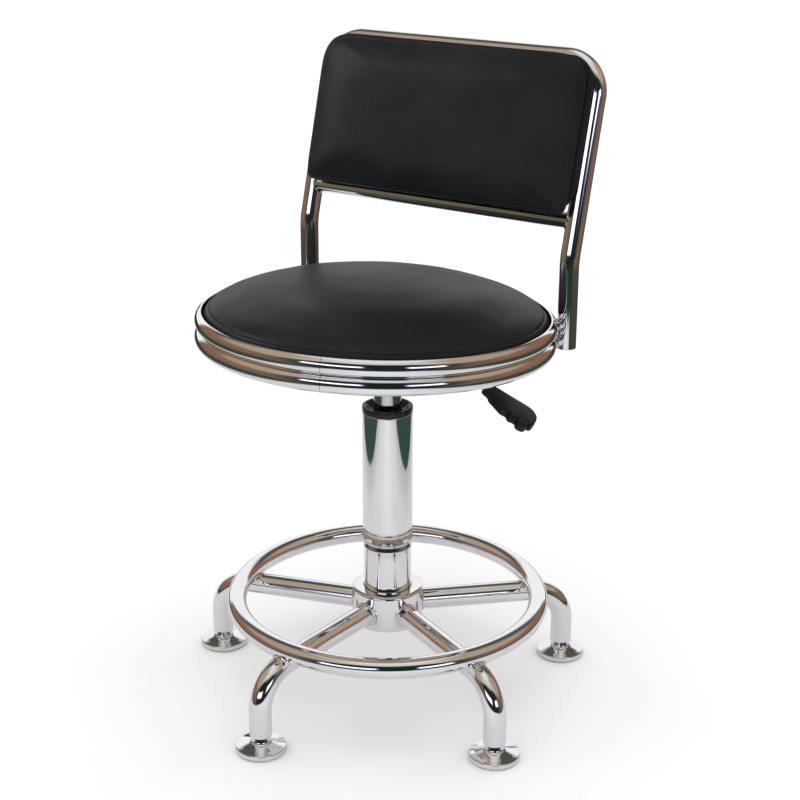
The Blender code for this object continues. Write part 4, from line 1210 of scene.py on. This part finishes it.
def build_rear_cover(outline, place):
    """The covered rear of the backrest, drawn in to its board, with a border seam pressed in."""
    steps = 40
    seam = 37
    pressed = {seam - 1: 0.0002, seam: 0.0008, seam + 1: 0.0002}
    rows = []
    for k in range(1, steps + 1):
        scale = k / steps
        row = []
        for point, outward in outline:
            x, y = (point.x - outward.x * 0.004) * scale, (point.y - outward.y * 0.004) * scale
            swell = max(0.0, 1.0 - (x / 0.118) ** 2) * max(0.0, 1.0 - (y / 0.072) ** 2)
            row.append(Vector((x, y, PANEL_BACK - 0.0035 * swell**1.5 + pressed.get(k - 1, 0.0))))
        rows.append(row)
    edge = ((0.0026, 0.0102), (0.0014, 0.0112), (0.0009, 0.0128), (0.0012, 0.0148), (0.0024, 0.0156))
    for drawn_in, z in edge:
        rows.append([Vector((p.x - n.x * drawn_in, p.y - n.y * drawn_in, z)) for p, n in outline])
    rows.append([Vector((p.x * 0.5, p.y * 0.5, 0.0156)) for p, n in outline])
    piece("back_rear_cover", closed_loft(rows), "black_vinyl", "seat", "back_board", place=place)
    line = [point - UP * 0.0001 for point in rows[seam - 1]]
    piece("back_rear_stitches", stitch_mesh(line), "thread", "seat", place=place)


def build_tabs():
    """Four tabs behind the panel, each with its screw."""
    tab_back = PANEL_BACK - CLEARANCE - TAB_THICKNESS
    tab_front = tab_back + TAB_THICKNESS
    edge = 0.0004
    layers = []
    levels = ((edge, tab_back), (0.0, tab_back + edge), (0.0, tab_front - edge), (edge, tab_front))
    for drawn_in, y in levels:
        half_x, half_z = TAB_WIDTH / 2 - drawn_in, TAB_HEIGHT / 2 - drawn_in
        outline = rounded([(x * half_x, z * half_z, 0.005) for x, z in SQUARE], 8)
        layers.append([(x, -y, z) for x, z in outline])
    hole = sleeve(0.0, BACK_SCREW_RADIUS + CLEARANCE, 0.0, 0.03, steps=32)
    hole.transform(SIDEWAYS)
    tab = cut(loft(layers), hole)
    head_seat = tab_back - CLEARANCE
    screw = screw_mesh(BACK_SCREW_RADIUS, 0.004, 0.0025, PANEL_BOARD_FRONT - 0.0013 - head_seat)
    places = [(side * TAB_CENTRE_X, level) for side in (-1, 1) for level in TAB_LEVELS]
    for number, (x, level) in enumerate(places, start=1):
        place = BACK @ at(x, 0.0, level)
        piece(f"back_plate_{number}", tab, "zinc_steel", "seat", f"back_tab_{number}", place=place)
        place = BACK @ at(x, -head_seat, level) @ SIDEWAYS
        piece(f"panel_screw_{number}", screw, "zinc_steel", "seat", f"back_screw_{number}", place=place)


# Studio

def toward_camera(degrees):
    """A level direction, so many degrees round from the camera's."""
    angle = radians(CAMERA_AZIMUTH + degrees)
    return Vector((sin(angle), -cos(angle), 0.0))


def along(tree, vector, degrees):
    """How far a vector reaches in a level direction, so many degrees round from the camera's."""
    inputs = {0: vector, 1: toward_camera(degrees)}
    return node(tree, "VectorMath", inputs, operation="DOT_PRODUCT").outputs["Value"]


def soft_box(tree, azimuth, elevation, middle, half_size, edge):
    """1 inside a rectangle of the sky, in degrees, falling to 0 over its soft edge."""
    inside = []
    for value, centre, half in zip((azimuth, elevation), middle, half_size):
        away = maths(tree, "ABSOLUTE", maths(tree, "SUBTRACT", value, centre))
        inside.append(remap(tree, away, 1.0, 0.0, half - edge, half + edge))
    return maths(tree, "MULTIPLY", *inside, clamp=True)


def build_world():
    """White to the camera. Reflections see lamps and a dim brown room under a pale ceiling."""
    world = bpy.data.worlds.new("studio")
    bpy.context.scene.world = world
    world.use_nodes = True
    tree = world.node_tree
    tree.nodes.clear()
    direction = node(tree, "TexCoord").outputs["Generated"]
    split = node(tree, "SeparateXYZ", {0: direction})
    turn = maths(tree, "ARCTAN2", along(tree, direction, 90), along(tree, direction, 0))
    azimuth = maths(tree, "DEGREES", turn)
    elevation = maths(tree, "DEGREES", maths(tree, "ARCSINE", split.outputs["Z"]))
    uneven = noise_texture(tree, direction, 2.5, 3.0, (1.0, 1.0, 0.4))
    shifted = maths(tree, "ADD", azimuth, remap(tree, uneven, -10.0, 10.0))
    round_way = rising(tree, shifted, -180.0, 180.0)
    backdrop = (0.95, 0.96, 0.97)
    brown = (0.25, 0.135, 0.088)
    dim = (0.14, 0.12, 0.085)
    dark = (0.012, 0.02, 0.017)
    room = ramp(tree, round_way, [
        (0.09, backdrop), (0.11, brown), (0.25, brown), (0.31, dim), (0.38, dark),
        (0.6, dark), (0.69, dim), (0.75, brown), (0.89, brown), (0.91, backdrop),
    ])
    side_ceiling = (0.43, 0.33, 0.25)
    front_ceiling = (0.66, 0.66, 0.6)
    rear_ceiling = (0.085, 0.085, 0.072)
    overhead = ramp(tree, round_way, [
        (0.12, rear_ceiling), (0.2, side_ceiling), (0.3, side_ceiling),
        (0.42, front_ceiling), (0.58, front_ceiling), (0.7, side_ceiling), (0.8, side_ceiling),
        (0.88, rear_ceiling),
    ])
    # The walls are taller ahead and behind than at the sides
    off_middle = maths(tree, "ABSOLUTE", azimuth)
    ahead_eaves = remap(tree, off_middle, 44.0, 16.0, 30.0, 75.0)
    eaves = maths(tree, "ADD", ahead_eaves, remap(tree, off_middle, 0.0, 18.0, 125.0, 160.0))
    ragged = maths(tree, "ADD", elevation, remap(tree, uneven, -4.0, 4.0))
    high = rising(tree, maths(tree, "SUBTRACT", ragged, eaves), 0.0, 11.0)
    sky = mixed(tree, high, room, overhead)
    sky = mixed(tree, rising(tree, elevation, 62.0, 76.0), sky, (0.8, 0.8, 0.78, 1.0))
    for lamp_azimuth, half_width in ((-27.0, 19.0), (33.0, 11.5)):
        middle = (lamp_azimuth, 17.0)
        fringe = soft_box(tree, azimuth, elevation, middle, (half_width + 1.6, 7.1), 1.2)
        lamp = soft_box(tree, azimuth, elevation, middle, (half_width, 5.5), 0.8)
        sky = mixed(tree, fringe, sky, (0.55, 0.42, 0.95, 1.0))
        sky = mixed(tree, lamp, sky, (1.7, 1.7, 1.8, 1.0))

    glossy = node(tree, "LightPath").outputs["Is Glossy Ray"]
    seen = node(tree, "Background", {0: sky, 1: 1.0})
    plain = node(tree, "Background", {0: (1.0, 1.0, 1.0, 1.0), 1: 1.2})
    out = node(tree, "MixShader", {0: glossy, 1: plain.outputs[0], 2: seen.outputs[0]})
    node(tree, "OutputWorld", {"Surface": out.outputs[0]})
    world.cycles.sampling_method = "NONE"


def floor_material():
    """Pale to the camera and clear from below. Reflections see a sheet of paper on dark boards. The paper
    carries painted shade: it is darker than the floor the camera sees, and darker still towards its sides.
    """
    made = bpy.data.materials.new("floor")
    made.use_nodes = True
    tree = made.node_tree
    tree.nodes.clear()
    place = node(tree, "TexCoord").outputs["Object"]
    ragged = remap(tree, noise_texture(tree, place, 1.6, 2.0), -0.05, 0.05)
    sideways = maths(tree, "ADD", maths(tree, "ABSOLUTE", along(tree, place, 90)), ragged)
    off_side = rising(tree, sideways, PAPER_HALF_WIDTH, PAPER_HALF_WIDTH + 0.02)
    forward = maths(tree, "ADD", along(tree, place, 0), ragged)
    off_front = rising(tree, forward, PAPER_FRONT, PAPER_FRONT + 0.1)
    # Painted shade: the paper that reflections see is darker than the floor that the camera sees, and
    # darker still towards its sides
    paper_with_painted_shade = ramp(tree, rising(tree, sideways, 0.0, PAPER_HALF_WIDTH), [
        (0.0, (0.72, 0.72, 0.74)), (0.6, (0.62, 0.62, 0.63)), (1.0, (0.45, 0.45, 0.46)),
    ])
    distance = node(tree, "VectorMath", {0: place}, operation="LENGTH").outputs["Value"]
    far = rising(tree, distance, 0.8, 3.0)
    teal = (0.03, 0.062, 0.05)
    ahead = [(0.0, teal), (0.3, (0.015, 0.035, 0.028)), (1.0, (0.014, 0.022, 0.018))]
    aside = [(0.0, teal), (0.2, (0.05, 0.045, 0.03)), (1.0, (0.17, 0.1, 0.065))]
    bearing = maths(tree, "DIVIDE", sideways, distance)
    boards = mixed(tree, rising(tree, bearing, 0.55, 0.85), ramp(tree, far, ahead), ramp(tree, far, aside))
    reflected = mixed(tree, maths(tree, "MAXIMUM", off_side, off_front), paper_with_painted_shade, boards)
    pale = two_tone(tree, noise_texture(tree, place, 3.0), (0.9, 0.9, 0.9), (0.93, 0.93, 0.93))
    glossy = node(tree, "LightPath").outputs["Is Glossy Ray"]
    matt = node(tree, "BsdfDiffuse", {"Color": mixed(tree, glossy, pale, reflected)})
    clear = node(tree, "BsdfTransparent")
    below = node(tree, "NewGeometry").outputs["Backfacing"]
    out = node(tree, "MixShader", {0: below, 1: matt.outputs[0], 2: clear.outputs[0]})
    node(tree, "OutputMaterial", {"Surface": out.outputs[0]})
    return made


def build_floor():
    """A wide level floor, which isn't part of the object."""
    bm = bmesh.new()
    bmesh.ops.create_grid(bm, x_segments=8, y_segments=8, size=9.0)
    mesh = bpy.data.meshes.new("floor")
    bm.to_mesh(mesh)
    bm.free()
    mesh.materials.append(floor_material())
    floor = bpy.data.objects.new("floor", mesh)
    floor.location = (0.0, 0.0, -CLEARANCE)
    bpy.context.scene.collection.objects.link(floor)


def build_camera():
    """The camera that took the photograph."""
    camera = bpy.data.objects.new("camera", bpy.data.cameras.new("camera"))
    camera.data.lens = CAMERA_LENS
    camera.data.shift_x = CAMERA_SHIFT
    camera.data.clip_end = 50.0
    stand = toward_camera(0) * CAMERA_DISTANCE
    camera.location = (AXIS.x + stand.x, AXIS.y + stand.y, CAMERA_HEIGHT)
    camera.rotation_euler = (radians(90.0 - CAMERA_TILT), 0.0, radians(CAMERA_AZIMUTH))
    bpy.context.scene.collection.objects.link(camera)
    bpy.context.scene.camera = camera
    bpy.context.scene.view_settings.view_transform = "Standard"


def build_window():
    """A window to the left of the camera that lights only the upholstery."""
    window = bpy.data.lights.new("window", "AREA")
    window.size = 0.8
    window.energy = 9.0
    window.color = (0.85, 0.9, 1.0)
    lamp = bpy.data.objects.new("window", window)
    lamp.location = Vector((AXIS.x, AXIS.y, 1.25)) + toward_camera(-95) * 1.5
    aim = Vector((AXIS.x, AXIS.y, 0.5)) - lamp.location
    lamp.rotation_euler = aim.to_track_quat("-Z", "Y").to_euler()
    bpy.context.scene.collection.objects.link(lamp)
    upholstery = bpy.data.collections.new("upholstery")
    for obj in bpy.data.objects:
        if obj.get("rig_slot") == "black_vinyl":
            upholstery.objects.link(obj)
    lamp.light_linking.receiver_collection = upholstery


build_base()
build_lift()
build_bracket()
build_rim()
build_board()
build_seat_cushion()
build_lever()
build_back_frame()
build_back_panel()
build_tabs()
build_world()
build_floor()
build_camera()
build_window()
